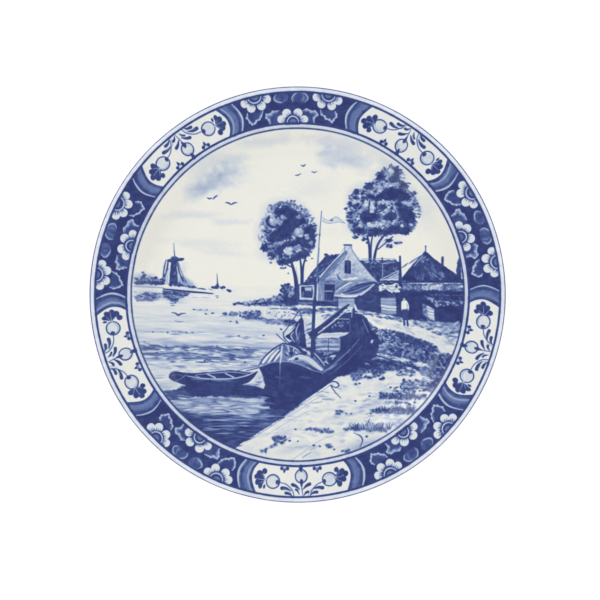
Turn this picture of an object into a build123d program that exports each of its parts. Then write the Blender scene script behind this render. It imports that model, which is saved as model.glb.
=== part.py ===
"""A decorated earthenware wall plate, hung upright on a wall.

The row frame is in millimetres. The plate's axis is Y, its painted face looks along -Y, and +Z is up.
The wall is the plane Y = 0, which the foot ring touches, and the origin is the centre of that contact.
Profiles are drawn in (radius, depth): the sketch's X is the radius, and its Y is the world's Y, so
everything on the plate has a negative depth.
"""

import os

from build123d import *

# Driving dimensions of the plate
PLATE_RADIUS = 200.0
RIM_FACE = 40.0  # from the wall to the rim's front, where the lip begins
WELL_FACE = 17.5  # from the wall to the front of the well's floor
WALL_THICKNESS = 6.6
GLAZE = 0.4
LIP_THICKNESS = 5.4

# The front outline: the well's floor, its rising wall and the sloping rim
WELL_FLOOR_RADIUS = 141.0
SHOULDER_RADIUS = 162.3
SHOULDER_FACE = 32.0
WELL_BEND = 34.0
SHOULDER_BEND = 6.0

# The back outline runs a wall's thickness behind it, so its corners lie a little farther out
BACK_FLOOR_RADIUS = WELL_FLOOR_RADIUS + 2.6
BACK_SHOULDER_RADIUS = SHOULDER_RADIUS + 3.3

# The foot ring, an upstanding ring around the back
FOOT_RADIUS = 116.0
FOOT_ROOT_WIDTH = 11.0
FOOT_TIP_WIDTH = 7.4
FOOT_HEIGHT = WELL_FACE - WALL_THICKNESS
FOOT_EMBED = 2.4  # how far the ring is let into the back
FOOT_TIP_ROUND = 1.3

# Two holes pierced through the foot ring, either side of the top, for a hanging wire
HOLE_RADIUS = 2.0
HOLE_DEPTH = 5.0  # from the wall to a hole's axis
HOLE_ANGLE = 12.0  # from the top

# The painted zones of the face, by radius
SCENE_RADIUS = 160.8
BORDER_INNER_RADIUS = 163.9
BORDER_OUTER_RADIUS = 195.2

# The border repeats five times: a white cartouche, then a floral ground. The first cartouche is at the
# bottom, a little out of square with the scene, as a border set out by hand is.
REPEATS = 5
PERIOD = 360.0 / REPEATS
CARTOUCHE_SPAN = 39.0
FLORAL_SPAN = PERIOD - CARTOUCHE_SPAN
FIRST_CARTOUCHE = 178.8  # clockwise from the top, seen from the front

BEYOND_AXIS = 20.0  # profiles run past the axis before they are trimmed to it


def rectangle(inner, outer, nearest, farthest):
    """A rectangle between two radii and between two distances from the wall, as a sketch to cut with."""
    place = Location(((inner + outer) / 2, -(nearest + farthest) / 2))
    return Rectangle(outer - inner, farthest - nearest, mode=Mode.PRIVATE).moved(place)


# The whole glazed plate without its foot, as a section from the axis to the rounded lip
lip_start = PLATE_RADIUS - LIP_THICKNESS / 2
lip_middle = (PLATE_RADIUS, -RIM_FACE + LIP_THICKNESS / 2)
front_outline = [
    (-BEYOND_AXIS, -WELL_FACE),
    (WELL_FLOOR_RADIUS, -WELL_FACE),
    (SHOULDER_RADIUS, -SHOULDER_FACE),
    (lip_start, -RIM_FACE),
]
back_outline = [
    (lip_start, -RIM_FACE + LIP_THICKNESS),
    (BACK_SHOULDER_RADIUS, -SHOULDER_FACE + WALL_THICKNESS),
    (BACK_FLOOR_RADIUS, -WELL_FACE + WALL_THICKNESS),
    (-BEYOND_AXIS, -WELL_FACE + WALL_THICKNESS),
]
with BuildSketch() as glazed_plate:
    with BuildLine():
        FilletPolyline(*front_outline, radius=(WELL_BEND, SHOULDER_BEND))
        ThreePointArc(front_outline[-1], lip_middle, back_outline[0])
        FilletPolyline(*back_outline, radius=(SHOULDER_BEND + WALL_THICKNESS, WELL_BEND - WALL_THICKNESS))
        Line(back_outline[-1], front_outline[0])
    make_face()

# The foot ring's section, with its tip rounded and its faces drafted
foot_root = FOOT_HEIGHT + FOOT_EMBED
with BuildSketch() as glazed_foot:
    with BuildLine():
        Polyline(
            (FOOT_RADIUS - FOOT_TIP_WIDTH / 2, 0),
            (FOOT_RADIUS + FOOT_TIP_WIDTH / 2, 0),
            (FOOT_RADIUS + FOOT_ROOT_WIDTH / 2, -foot_root),
            (FOOT_RADIUS - FOOT_ROOT_WIDTH / 2, -foot_root),
            close=True,
        )
    make_face()
    fillet(glazed_foot.vertices().sort_by(Axis.Y)[-2:], radius=FOOT_TIP_ROUND)

# The clay under the glaze. The foot's tip is wiped bare, so there the clay reaches the wall.
bare_half_width = FOOT_TIP_WIDTH / 2 - FOOT_TIP_ROUND
with BuildSketch() as clay_section:
    add(glazed_plate.sketch)
    offset(amount=-GLAZE)
    add(rectangle(0, PLATE_RADIUS, 0, RIM_FACE), mode=Mode.INTERSECT)

with BuildSketch() as foot_section:
    add(glazed_foot.sketch)
    offset(amount=-GLAZE)
    add(rectangle(FOOT_RADIUS - bare_half_width, FOOT_RADIUS + bare_half_width, 0, FOOT_HEIGHT))
    add(clay_section.sketch, mode=Mode.SUBTRACT)

# The glaze is what is left between the two outlines
with BuildSketch() as glaze_section:
    add(glazed_plate.sketch)
    add(glazed_foot.sketch)
    add(clay_section.sketch, mode=Mode.SUBTRACT)
    add(foot_section.sketch, mode=Mode.SUBTRACT)
    add(rectangle(0, PLATE_RADIUS, 0, RIM_FACE), mode=Mode.INTERSECT)


def front_zone(inner, outer):
    """The front glaze's section between two radii: the strip there that is farther from the wall."""
    with BuildSketch(mode=Mode.PRIVATE) as strips:
        add(glaze_section.sketch)
        add(rectangle(inner, outer, 0, RIM_FACE), mode=Mode.INTERSECT)
    return strips.faces().sort_by(Axis.Y)[0]


with BuildSketch() as rim_edge_section:
    add(glaze_section.sketch)
    add(rectangle(BORDER_OUTER_RADIUS, PLATE_RADIUS, 0, RIM_FACE), mode=Mode.INTERSECT)

with BuildSketch() as back_section:
    add(glaze_section.sketch)
    add(rectangle(0, BORDER_OUTER_RADIUS, 0, RIM_FACE), mode=Mode.INTERSECT)
    add(front_zone(0, BORDER_OUTER_RADIUS), mode=Mode.SUBTRACT)


def pierce_hanging_holes():
    """Cuts the two hanging holes out of the part that is being built."""
    for side in (-1, 1):
        with Locations(Plane.XZ.rotated((0, side * HOLE_ANGLE, 0)).offset(HOLE_DEPTH).location):
            with Locations((0, FOOT_RADIUS, 0)):
                Cylinder(HOLE_RADIUS, 2 * FOOT_ROOT_WIDTH, rotation=(90, 0, 0), mode=Mode.SUBTRACT)


with BuildPart() as clay_body:
    add(clay_section.sketch)
    revolve(axis=Axis.Y)

with BuildPart() as foot_ring:
    add(foot_section.sketch)
    revolve(axis=Axis.Y)
    pierce_hanging_holes()

with BuildPart() as back_glaze:
    add(back_section.sketch)
    revolve(axis=Axis.Y)
    pierce_hanging_holes()

with BuildPart() as rim_edge_glaze:
    add(rim_edge_section.sketch)
    revolve(axis=Axis.Y)

with BuildPart() as shoulder_glaze:
    add(front_zone(SCENE_RADIUS, BORDER_INNER_RADIUS))
    revolve(axis=Axis.Y)

with BuildPart() as scene_glaze:
    add(front_zone(0, SCENE_RADIUS))
    revolve(axis=Axis.Y)

pieces = {
    "clay_body": clay_body.part,
    "foot_ring": foot_ring.part,
    "back_glaze": back_glaze.part,
    "rim_edge_glaze": rim_edge_glaze.part,
    "shoulder_glaze": shoulder_glaze.part,
    "scene_glaze": scene_glaze.part,
}


def border_panel(middle, span):
    """One panel of the border's glaze, centred at an angle clockwise from the top, seen from the front."""
    with BuildPart() as panel:
        add(front_zone(BORDER_INNER_RADIUS, BORDER_OUTER_RADIUS))
        revolve(axis=Axis.Y, revolution_arc=span)
    # The revolved panel starts at +X and turns towards -Z, which is clockwise from the front
    return panel.part.rotate(Axis.Y, middle - 90 - span / 2)


for number in range(REPEATS):
    cartouche_middle = FIRST_CARTOUCHE + number * PERIOD
    pieces[f"cartouche_glaze_{number + 1}"] = border_panel(cartouche_middle, CARTOUCHE_SPAN)
    pieces[f"floral_glaze_{number + 1}"] = border_panel(cartouche_middle + PERIOD / 2, FLORAL_SPAN)

os.makedirs("parts", exist_ok=True)
for name, part in pieces.items():
    part.label = name
    export_step(part, f"parts/{name}.step")
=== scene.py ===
"""A blue-and-white wall plate. The painting is laid on a canvas of cobalt densities with brush strokes,
the scene first and then the border. The glaze then carries it as an attribute of each vertex."""

import math

import bpy
import numpy as np
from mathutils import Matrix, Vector


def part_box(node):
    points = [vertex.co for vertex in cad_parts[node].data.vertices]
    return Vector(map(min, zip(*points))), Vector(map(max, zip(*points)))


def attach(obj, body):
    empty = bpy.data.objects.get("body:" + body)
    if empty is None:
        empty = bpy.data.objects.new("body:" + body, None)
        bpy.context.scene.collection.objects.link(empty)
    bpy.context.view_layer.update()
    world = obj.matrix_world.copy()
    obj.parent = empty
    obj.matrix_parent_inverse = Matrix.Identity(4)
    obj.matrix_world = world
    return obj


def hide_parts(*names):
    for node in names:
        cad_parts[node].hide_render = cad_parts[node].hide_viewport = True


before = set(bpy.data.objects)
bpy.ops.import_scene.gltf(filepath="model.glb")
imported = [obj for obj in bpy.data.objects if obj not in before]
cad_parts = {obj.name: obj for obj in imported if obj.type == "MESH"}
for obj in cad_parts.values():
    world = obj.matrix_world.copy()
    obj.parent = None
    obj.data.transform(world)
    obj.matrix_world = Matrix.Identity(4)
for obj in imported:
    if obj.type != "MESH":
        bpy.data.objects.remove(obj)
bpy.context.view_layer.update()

# ---- The painting: a canvas in millimetres, and brushes ----

CELL = 0.25  # the size of one cell of the canvas, in millimetres
REACH = 200.0  # the canvas runs this far each way from the plate's axis
SIDE = int(2 * REACH / CELL)  # how many rows and columns the canvas has
PLACE = (np.arange(SIDE) + 0.5) * CELL - REACH  # where each row or column lies
canvas = np.zeros((SIDE, SIDE), np.float32)  # how much cobalt: rows run up the plate, columns to the right
chance = np.random.default_rng(1750)  # the unsteadiness of the hand, the same in every run

SOFT = 0.5  # how wide the soft edge of a brush stroke is, in millimetres
THINNEST = 0.05  # the thinnest a stroke gets between two of its points, in millimetres
FULL = 0.96  # the tone that a brush full of cobalt leaves
LEAF = 3.4  # how long a leaf that sticks out of a tree's crown is, in millimetres
LATTICE = 256  # a random field repeats after this many of its spots
FAR_SIDE = 1000  # moves the canvas to where every coordinate of a random field is above zero


def patch(low_x, low_z, high_x, high_z):
    """The cells that a box in millimetres covers, with their x as a row and their z as a column."""
    left, right = max(0, int((low_x + REACH) / CELL)), min(SIDE, int((high_x + REACH) / CELL) + 2)
    below, above = max(0, int((low_z + REACH) / CELL)), min(SIDE, int((high_z + REACH) / CELL) + 2)
    columns, rows = slice(left, right), slice(below, above)
    return (rows, columns), PLACE[columns][None, :], PLACE[rows][:, None]


def noise(size_x, size_z, seed, turn=0.0):
    """A smooth random field from -1 to 1, with spots of that size along and across a direction."""
    along, across = math.cos(math.radians(turn)), math.sin(math.radians(turn))
    x, z = PLACE[None, :], PLACE[:, None]
    total = np.zeros((SIDE, SIDE), np.float32)
    for octave, share in ((1, 0.65), (2, 0.35)):
        u = ((x * along + z * across) / size_x * octave + FAR_SIDE).astype(np.float32)
        v = ((z * along - x * across) / size_z * octave + FAR_SIDE).astype(np.float32)
        table = np.random.default_rng(seed + octave).uniform(-1, 1, (LATTICE, LATTICE)).astype(np.float32)
        iu, iv = np.floor(u).astype(np.int32), np.floor(v).astype(np.int32)
        fu, fv = u - iu, v - iv
        fu, fv = fu * fu * (3 - 2 * fu), fv * fv * (3 - 2 * fv)
        iu, iv = iu % LATTICE, iv % LATTICE
        ju, jv = (iu + 1) % LATTICE, (iv + 1) % LATTICE
        low = table[iv, iu] * (1 - fu) + table[iv, ju] * fu
        high = table[jv, iu] * (1 - fu) + table[jv, ju] * fu
        total += share * (low * (1 - fv) + high * fv)
    return total


speckle = noise(1.6, 1.6, 11)
mottle = noise(5.0, 4.0, 23)
drift = noise(26.0, 15.0, 37)
streaks = noise(22.0, 1.7, 41, turn=-2.0)  # long level bands of the water
trickles = noise(9.0, 0.8, 47, turn=-1.0)  # short level bands, for water and worn ground
edge_wander = noise(2.6, 2.6, 59)  # how far a filled outline strays from its points


def lay(where, cover, tone):
    """Paints over part of the canvas: cover says how much of the new tone shows at each cell."""
    canvas[where] += (tone - canvas[where]) * cover


def bend(points, steps=6):
    """A smooth curve through the points, as more points."""
    p = np.array(points, float)
    if len(p) < 3:
        return p
    before = np.vstack([2 * p[0] - p[1], p, 2 * p[-1] - p[-2]])
    t = np.linspace(0, 1, steps, endpoint=False)[:, None]
    spans = []
    for a, b, c, d in zip(before[:-3], before[1:-2], before[2:-1], before[3:]):
        square, cube = 2 * a - 5 * b + 4 * c - d, 3 * b - a - 3 * c + d
        spans.append(0.5 * (2 * b + (c - a) * t + square * t**2 + cube * t**3))
    return np.vstack([*spans, p[-1:]])


def stroke(points, width, tone, soft=SOFT):
    """One pull of the brush along the points. width is one number, or several spread along the stroke."""
    p = np.array(points, float)
    w = np.array([width] * 2 if np.isscalar(width) else width, float)
    w = np.interp(np.linspace(0, 1, len(p)), np.linspace(0, 1, len(w)), w)
    if len(p) > 2:
        both = bend(np.column_stack([p, w]))
        p, w = both[:, :2], np.maximum(both[:, 2], THINNEST)
    margin = w.max() / 2 + soft
    where, x, z = patch(*(p.min(0) - margin), *(p.max(0) + margin))
    cover = np.zeros((x * z).shape, np.float32)
    first_row, first_column = where[0].start, where[1].start
    for (ax, az), (bx, bz), wa, wb in zip(p[:-1], p[1:], w[:-1], w[1:]):
        m = max(wa, wb) / 2 + soft
        part, px, pz = patch(min(ax, bx) - m, min(az, bz) - m, max(ax, bx) + m, max(az, bz) + m)
        dx, dz = bx - ax, bz - az
        t = np.clip(((px - ax) * dx + (pz - az) * dz) / max(dx * dx + dz * dz, 1e-9), 0, 1)
        away = np.hypot(px - ax - t * dx, pz - az - t * dz) - (wa + (wb - wa) * t) / 2
        rows = slice(part[0].start - first_row, part[0].stop - first_row)
        columns = slice(part[1].start - first_column, part[1].stop - first_column)
        own = cover[rows, columns]
        np.maximum(own, np.clip(0.5 - away / soft, 0, 1), out=own)
    lay(where, cover, tone)


def inside(points, x, z):
    """How far inside a closed outline each cell is, in millimetres: negative outside it."""
    p = np.array(points, float)
    q = np.roll(p, -1, axis=0)
    nearest = np.full((x * z).shape, 1e9, np.float32)
    within = np.zeros(nearest.shape, bool)
    for (ax, az), (bx, bz) in zip(p, q):
        dx, dz = bx - ax, bz - az
        t = np.clip(((x - ax) * dx + (z - az) * dz) / max(dx * dx + dz * dz, 1e-9), 0, 1)
        np.minimum(nearest, np.hypot(x - ax - t * dx, z - az - t * dz), out=nearest)
        if az != bz:
            within ^= ((az > z) != (bz > z)) & (x < ax + dx * (z - az) / dz)
    return np.where(within, nearest, -nearest)


def area(points, tone, soft=0.6, rough=0.3, curve=False, grain=0.05, field=None, strength=1.0):
    """Fills an outline with a tone, with a hand-drawn edge and a streaky or mottled tone inside."""
    p = bend([*points, points[0]])[:-1] if curve else np.array(points, float)
    margin = soft + rough
    where, x, z = patch(*(p.min(0) - margin), *(p.max(0) + margin))
    depth = inside(p, x, z) + rough * edge_wander[where]
    pattern = (mottle if field is None else field)[where]
    lay(where, np.clip(0.5 + depth / soft, 0, 1) * strength, np.clip(tone + grain * pattern, 0, 1))


def dab(x, z, length, width, turn, tone, soft=SOFT, strength=1.0):
    """One touch of the brush: an oval, with its length turned that many degrees from level."""
    reach = length / 2 + soft
    where, px, pz = patch(x - reach, z - reach, x + reach, z + reach)
    c, s = math.cos(math.radians(turn)), math.sin(math.radians(turn))
    u, v = (px - x) * c + (pz - z) * s, (pz - z) * c - (px - x) * s
    away = (np.hypot(u / length, v / width) * 2 - 1) * min(length, width) / 2
    lay(where, np.clip(0.5 - away / soft, 0, 1) * strength, tone)


def wash(x, z, reach_x, reach_z, tone, turn=0.0):
    """A thin, soft-edged veil of blue water colour over what is there."""
    reach = 2.2 * max(reach_x, reach_z)
    where, px, pz = patch(x - reach, z - reach, x + reach, z + reach)
    c, s = math.cos(math.radians(turn)), math.sin(math.radians(turn))
    u, v = (px - x) * c + (pz - z) * s, (pz - z) * c - (px - x) * s
    ragged = 0.6 * (0.6 * drift[where] + 0.4 * mottle[where])
    r = np.hypot(u / reach_x, v / reach_z) + ragged
    canvas[where] += tone * np.clip(1.25 - r, 0, 1) ** 1.5 * (1 - canvas[where])


def scatter(points, size, tone, turn=0.0, spread=20.0):
    """A touch of the brush at each point, none quite like the next."""
    for x, z in points:
        grow = chance.uniform(0.8, 1.25)
        dab(x, z, size * 1.35 * grow, size * 0.9 * grow, turn + chance.uniform(-spread, spread), tone)


def foliage(clumps, fill=1.0, size=1.0, tones=None):
    """Clumps of leaves, each (x, z, reach along x, reach along z, tone). With tones, each leaf takes one."""
    for cx, cz, rx, rz, tone in clumps:
        dab(cx, cz, 1.7 * rx, 1.7 * rz, 0, tone, soft=1.8, strength=0.6)
        for _ in range(int(rx * rz * 0.8 * fill / size**2) + 3):
            turn, r = chance.uniform(0, 2 * math.pi), math.sqrt(chance.uniform(0, 1))
            x, z = r * math.cos(turn), r * math.sin(turn)
            own = tone + 0.08 if tones is None else chance.choice(tones)
            own = float(np.clip(own + chance.normal(0, 0.07) - 0.04 * (z - x), 0.03, 0.98))
            long, slant = chance.uniform(1.6, 4.0) * size, chance.uniform(-60, 60)
            wide = long * chance.uniform(0.5, 0.8)
            x, z = cx + rx * x, cz + rz * z
            if chance.uniform() < 0.2:
                lighter = own * chance.uniform(0.15, 0.6)
                dab(x - 0.6 * size, z + 0.7 * size, long, wide, slant, lighter, soft=0.6, strength=0.8)
            dab(x, z, long * 0.95, wide * 0.9, slant, own, strength=0.95)


def masses(outlines):
    """The darkest parts of a tree, with leaves along their edges."""
    for outline in outlines:
        area(outline, FULL, soft=0.9, rough=1.5, grain=0.06, curve=True)
        for x, z in bend([*outline, outline[0]], 3):
            x, z = x + chance.normal(0, 0.7), z + chance.normal(0, 0.7)
            long, wide = chance.uniform(1.6, 3.4), chance.uniform(1.2, 2.2)
            turn, own = chance.uniform(0, 180), FULL * chance.uniform(0.8, 1.0)
            dab(x, z, long, wide, turn, own, soft=0.6, strength=0.9)


def fringe(cx, cz, rx, rz, count, tone, turns):
    """Leaves that stick out of a tree's crown between two turns, pointing away from its middle."""
    for _ in range(count):
        t = math.radians(chance.uniform(*turns))
        out = chance.uniform(0.94, 1.08)
        x, z = cx + rx * out * math.cos(t), cz + rz * out * math.sin(t)
        own = float(np.clip(tone + chance.normal(0, 0.18), 0.1, 1))
        slant = math.degrees(math.atan2(rz * math.sin(t), rx * math.cos(t))) + chance.normal(0, 25)
        long, wide = LEAF * chance.uniform(0.6, 1.3), chance.uniform(0.9, 1.8)
        dab(x, z, long, wide, slant, own, soft=0.6, strength=0.9)


def lines(rows):
    """Several strokes, each (width, tone, points)."""
    for width, tone, points in rows:
        stroke(points, width, tone)


def dashes(rows, tone, width=1.0, slope=0.0):
    """Short level touches of the brush, each (left, right, height)."""
    for left, right, z in rows:
        drop = slope * (right - left)
        middle = ((left + right) / 2, z + chance.uniform(-0.2, 0.2))
        thin, thick = width * 0.35, width * chance.uniform(0.8, 1.2)
        stroke(((left, z - drop / 2), middle, (right, z + drop / 2)), (thin, thick, thin), tone)


def ripples(low_x, high_x, low_z, high_z, count, tone, spread=0.12, length=9.0, width=0.9):
    """Level touches of the brush strewn over a stretch of water."""
    for _ in range(count):
        x, z = chance.uniform(low_x, high_x), chance.uniform(low_z, high_z)
        half = length * chance.uniform(0.25, 0.6)
        own = float(np.clip(tone + chance.normal(0, spread), 0, 1))
        thick, slope = width * chance.uniform(0.6, 1.3), chance.uniform(-0.03, 0.03)
        dashes(((x - half, x + half, z),), own, thick, slope)


def hatch(outline, count, tones, length, width, turn=0.0, spread=12.0, strength=0.9):
    """Touches of the brush strewn inside an outline, running much the same way, each in one of the tones."""
    p = np.array(outline, float)
    low, high = p.min(0), p.max(0)
    x, z = chance.uniform(low[0], high[0], 6 * count), chance.uniform(low[1], high[1], 6 * count)
    kept = np.flatnonzero(inside(p, x, z) > 0.4 * width)[:count]
    for x, z in zip(x[kept], z[kept]):
        own = float(np.clip(chance.choice(tones) + chance.normal(0, 0.04), 0, 1))
        long, wide = length * chance.uniform(0.6, 1.4), width * chance.uniform(0.7, 1.3)
        dab(x, z, long, wide, turn + chance.normal(0, spread), own, soft=0.6, strength=strength)


def reeds(left, right, low, high, count, tone, height=3.0, lean=8.0):
    """Short upright touches of the brush, as a row of reeds or grass seen from far off."""
    for _ in range(count):
        x = chance.uniform(left, right)
        base = low + (high - low) * (x - left) / (right - left) + chance.uniform(-1.2, 1.2)
        tip = height * chance.uniform(0.5, 1.3)
        own = float(np.clip(tone + chance.normal(0, 0.12), 0.05, 1))
        side = tip * math.tan(math.radians(chance.normal(0, lean)))
        stroke(((x, base), (x + side, base + tip)), (0.9, 0.4), own)


def tufts(rows, size=2.0, tone=0.9):
    """Rows of ragged dark touches, each (left, right, height): weeds between the stones."""
    for left, right, z in rows:
        for _ in range(max(1, int((right - left) / size * 1.5))):
            x, own = chance.uniform(left, right), float(np.clip(tone + chance.normal(0, 0.1), 0.3, 1))
            z_own, turn = z + chance.normal(0, 0.3) * size, chance.normal(0, 30)
            dab(x, z_own, size * 2.6, size * 1.5, turn, 0.5, soft=1.2, strength=0.45)
            long, wide = size * chance.uniform(0.9, 1.7), size * chance.uniform(0.6, 1.0)
            dab(x, z_own, long, wide, turn, own, strength=0.95)


# ---- The scene: a windmill, a farm, a barge and a rowing boat by the water ----

# The sky: thin washes of water colour, and birds.
for x, z, w, h, t, turn in (
    (-30, 148, 46, 8, 0.09, 6),
    (40, 146, 46, 9, 0.11, -8),
    (-88, 126, 26, 12, 0.09, 38),
    (-60, 131, 18, 7, 0.12, 12),
    (-66, 119, 24, 8, 0.14, 12),
    (-86, 106, 24, 12, 0.15, 12),
    (-70, 112, 24, 11, 0.1, 4),
    (-94, 100, 15, 8, 0.14, 20),
    (-78, 121, 14, 6, 0.08, 30),
    (-101, 102, 12, 6, 0.09, 20),
    (38, 133, 20, 11, 0.15, 0),
    (60, 119, 12, 8, 0.05, 0),
    (28, 138, 12, 5, 0.1, 10),
    (57, 128, 20, 8, 0.13, 10),
    (88, 126, 26, 8, 0.09, -38),
    (-104, 77, 32, 5, 0.09, 3),
    (-62, 70, 28, 4, 0.08, 0),
    (-96, 50, 44, 6, 0.06, -2),
    (-70, 40, 30, 4, 0.05, -4),
    (16, 104, 34, 16, 0.05, 0),
    (124, 84, 14, 26, 0.06, 0),
    (-20, 84, 30, 10, 0.04, 20),
    (40, 60, 30, 8, 0.03, 0),
):
    wash(x, z, w, h, t, turn)
lines((
    ((0.7, 1.3, 0.7), 0.9, ((3.4, 125.4), (5.6, 124.6), (7.6, 126))),
    ((0.6, 1.1, 0.6), 0.85, ((13.6, 119.4), (16, 118.4), (18.6, 119.4))),
    ((0.6, 1.1, 0.6), 0.85, ((-2.4, 115.6), (0.4, 115.8), (3, 117.2))),
    ((0.6, 1.4, 1.0, 1.4, 0.6), 0.92, ((-70, 89.2), (-67, 88.8), (-64.4, 87.4), (-61.6, 88.8),
        (-58.6, 89.2))),
    ((0.7, 1.4, 0.7), 0.9, ((-87.6, 93.8), (-85.4, 93), (-83, 93.6))),
    ((0.7, 1.5, 0.7), 0.9, ((-82, 92.4), (-80, 94.6), (-77.6, 96))),
))

# The water: pale near the far shore, darker and streakier towards the quay.
where, x, z = patch(-162, -160, 60, 8)
WATER = (  # (height in millimetres, tone there, how far its bands stray from that tone)
    (8, 0.03, 0), (-8, 0.06, 0.04), (-20, 0.09, 0.06), (-25, 0.13, 0.08),
    (-30, 0.09, 0.06), (-36, 0.19, 0.1), (-40, 0.12, 0.07), (-44, 0.14, 0.12),
    (-48, 0.28, 0.2), (-52, 0.36, 0.26), (-58, 0.29, 0.24), (-62, 0.35, 0.3),
    (-66, 0.2, 0.2), (-72, 0.12, 0.12), (-82, 0.12, 0.12), (-92, 0.2, 0.2),
    (-100, 0.32, 0.24), (-108, 0.42, 0.3), (-116, 0.6, 0.28), (-124, 0.72, 0.24),
    (-132, 0.85, 0.16), (-142, 0.92, 0.06),
)
levels, tones, swings = zip(*WATER)
heights = z + 0.025 * (x + 80) + 2.0 * drift[where]
tone = np.interp(-heights, -np.array(levels), tones)
swing = np.interp(-heights, -np.array(levels), swings)
lay(where, 1.0, np.clip(tone + 1.5 * swing * (0.75 * streaks[where] + 0.5 * trickles[where]), 0, 1))
ripples(-155, -85, -38.5, -34, 12, 0.22, width=1.1)
ripples(-85, -30, -43, -40, 9, 0.26, width=1.1)
dashes(((-143, -137, -36), (-129, -123, -36), (-105, -99, -37)), 0.35)
dashes(((-103, -97, -14), (-98, -92, -15), (-91, -85, -19), (-85, -79, -18), (-68, -62, -26),
    (-62, -56, -27)), 0.3, 0.8)
ripples(-150, -40, -71, -49, 60, 0.42, 0.15, 11, 1.1)
ripples(-150, -40, -71, -49, 30, 0.12, 0.06, 10, 0.9)
dashes(((-152, -138, -49),), 0.62, 1.7)
dashes(((-132, -104, -50.5), (-112, -80, -52.4), (-84, -42, -53.6)), 0.56, 2.2, -0.03)
dashes(((-149, -134, -57),), 0.76, 1.8)
dashes(((-112, -84, -61.6), (-90, -60, -62.4)), 0.6, 1.8)
dashes(((-61, -39, -60.8),), 0.72, 1.8)
dashes(((-94, -86, -65), (-57, -49, -53.4), (-72, -64, -57), (-100, -90, -57.5)), 0.6, 1.2)
ripples(-150, -35, -84, -70, 26, 0.34, 0.1, 10, 0.9)
chop = ((-151, -46), (-120, -47), (-84, -48.6), (-36, -51.6), (-36, -62), (-70, -65), (-110, -66),
    (-146, -62))
hatch(chop, 90, (0.5, 0.62, 0.78), 6.0, 1.2, -2, 4)
hatch(chop, 46, (0.05, 0.16), 8.0, 1.3, -1, 3)
hatch(((-150, -47), (-110, -48), (-86, -51), (-86, -56), (-120, -54), (-149, -53)),
    26, (0.7, 0.82), 7.0, 1.3, -3, 3)
hatch(((-90, -49), (-40, -53), (-40, -57), (-90, -55)), 22, (0.66, 0.78), 7.0, 1.3, -4, 3)
hatch(((-148, -54), (-60, -58), (-40, -60), (-60, -64), (-120, -62)), 34, (0.66, 0.78), 6.0, 1.2, -2, 4)
hatch(((-150, -66), (-40, -66), (-36, -74), (-140, -78)), 30, (0.25, 0.4), 8.0, 1.1, -1, 4)
scatter(((-140, -36.2), (-126, -36.8), (-102, -36.8), (-108, -36.6), (-33, -39.6), (-57, -40),
    (-148, -45.6), (-127.4, -50.6), (-109, -51.4), (-78, -49.6), (-52, -52.8), (-51, -65.4), (-90, -64),
    (-88, -62.6)), 1.5, 0.78, 0, 10)
hatch(((-152, -34), (-104, -36), (-104, -38), (-150, -37)), 12, (0.4, 0.55), 5.0, 0.9, -3, 3)
hatch(((-66, -38), (-32, -42), (-32, -44), (-70, -42)), 10, (0.35, 0.5), 6.0, 0.9, -3, 3)

# The far shore, with the windmill on it.
area(((-165, 9), (-85, 6), (-60, 4), (-60, 3), (-85, 3.5), (-165, 5)), 0.05, soft=1, rough=0.4, grain=0.05)
wash(-146, 14, 15, 9, 0.5, -4)
wash(-121, 20, 13, 15, 0.22, 0)
wash(-108, 11, 13, 5, 0.34, -20)
wash(-144, -1, 17, 6, 0.34, -2)
wash(-120, -1, 15, 7, 0.3, -2)
copse = ((-158, 10), (-157, 16), (-150, 17.6), (-149, 22), (-146, 18), (-142, 15.6), (-138, 17), (-134, 15),
    (-130, 14), (-130, 10))
area(copse, 0.3, rough=1.4, soft=1.4, grain=0.2)
hatch(copse, 46, (0.5, 0.7, 0.88), 3.0, 1.9, 0, 50)
hatch(((-158, 13.4), (-130, 13), (-130, 9.4), (-158, 9.6)), 56, (0.94, 0.82), 3.2, 1.9, 0, 20)
scatter(((-149.6, 21.4), (-148, 19), (-149, 17), (-141, 16), (-137.4, 16.4), (-132, 15)), 2.3, 0.9)
area(((-124.4, 10), (-116, 9.4), (-116.6, 20), (-117.4, 33), (-122.6, 33), (-123.8, 20)),
    0.9, rough=0.5, grain=0.1)
hatch(((-123.6, 12), (-117, 12), (-118, 30), (-122.6, 30)), 20, (0.6, 0.75, 0.95), 3.0, 1.2, 60, 40)
area(((-128.6, 9.6), (-124.6, 9.6), (-123.8, 25), (-126.6, 27)), 0.12, rough=0.4, grain=0.06)
area(((-126.6, 33.6), (-123, 35), (-121.4, 37), (-118, 37.4), (-115, 35.4), (-116.4, 31.6), (-122, 31),
    (-126, 31.6)), 0.88, rough=0.5, grain=0.08)
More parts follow.
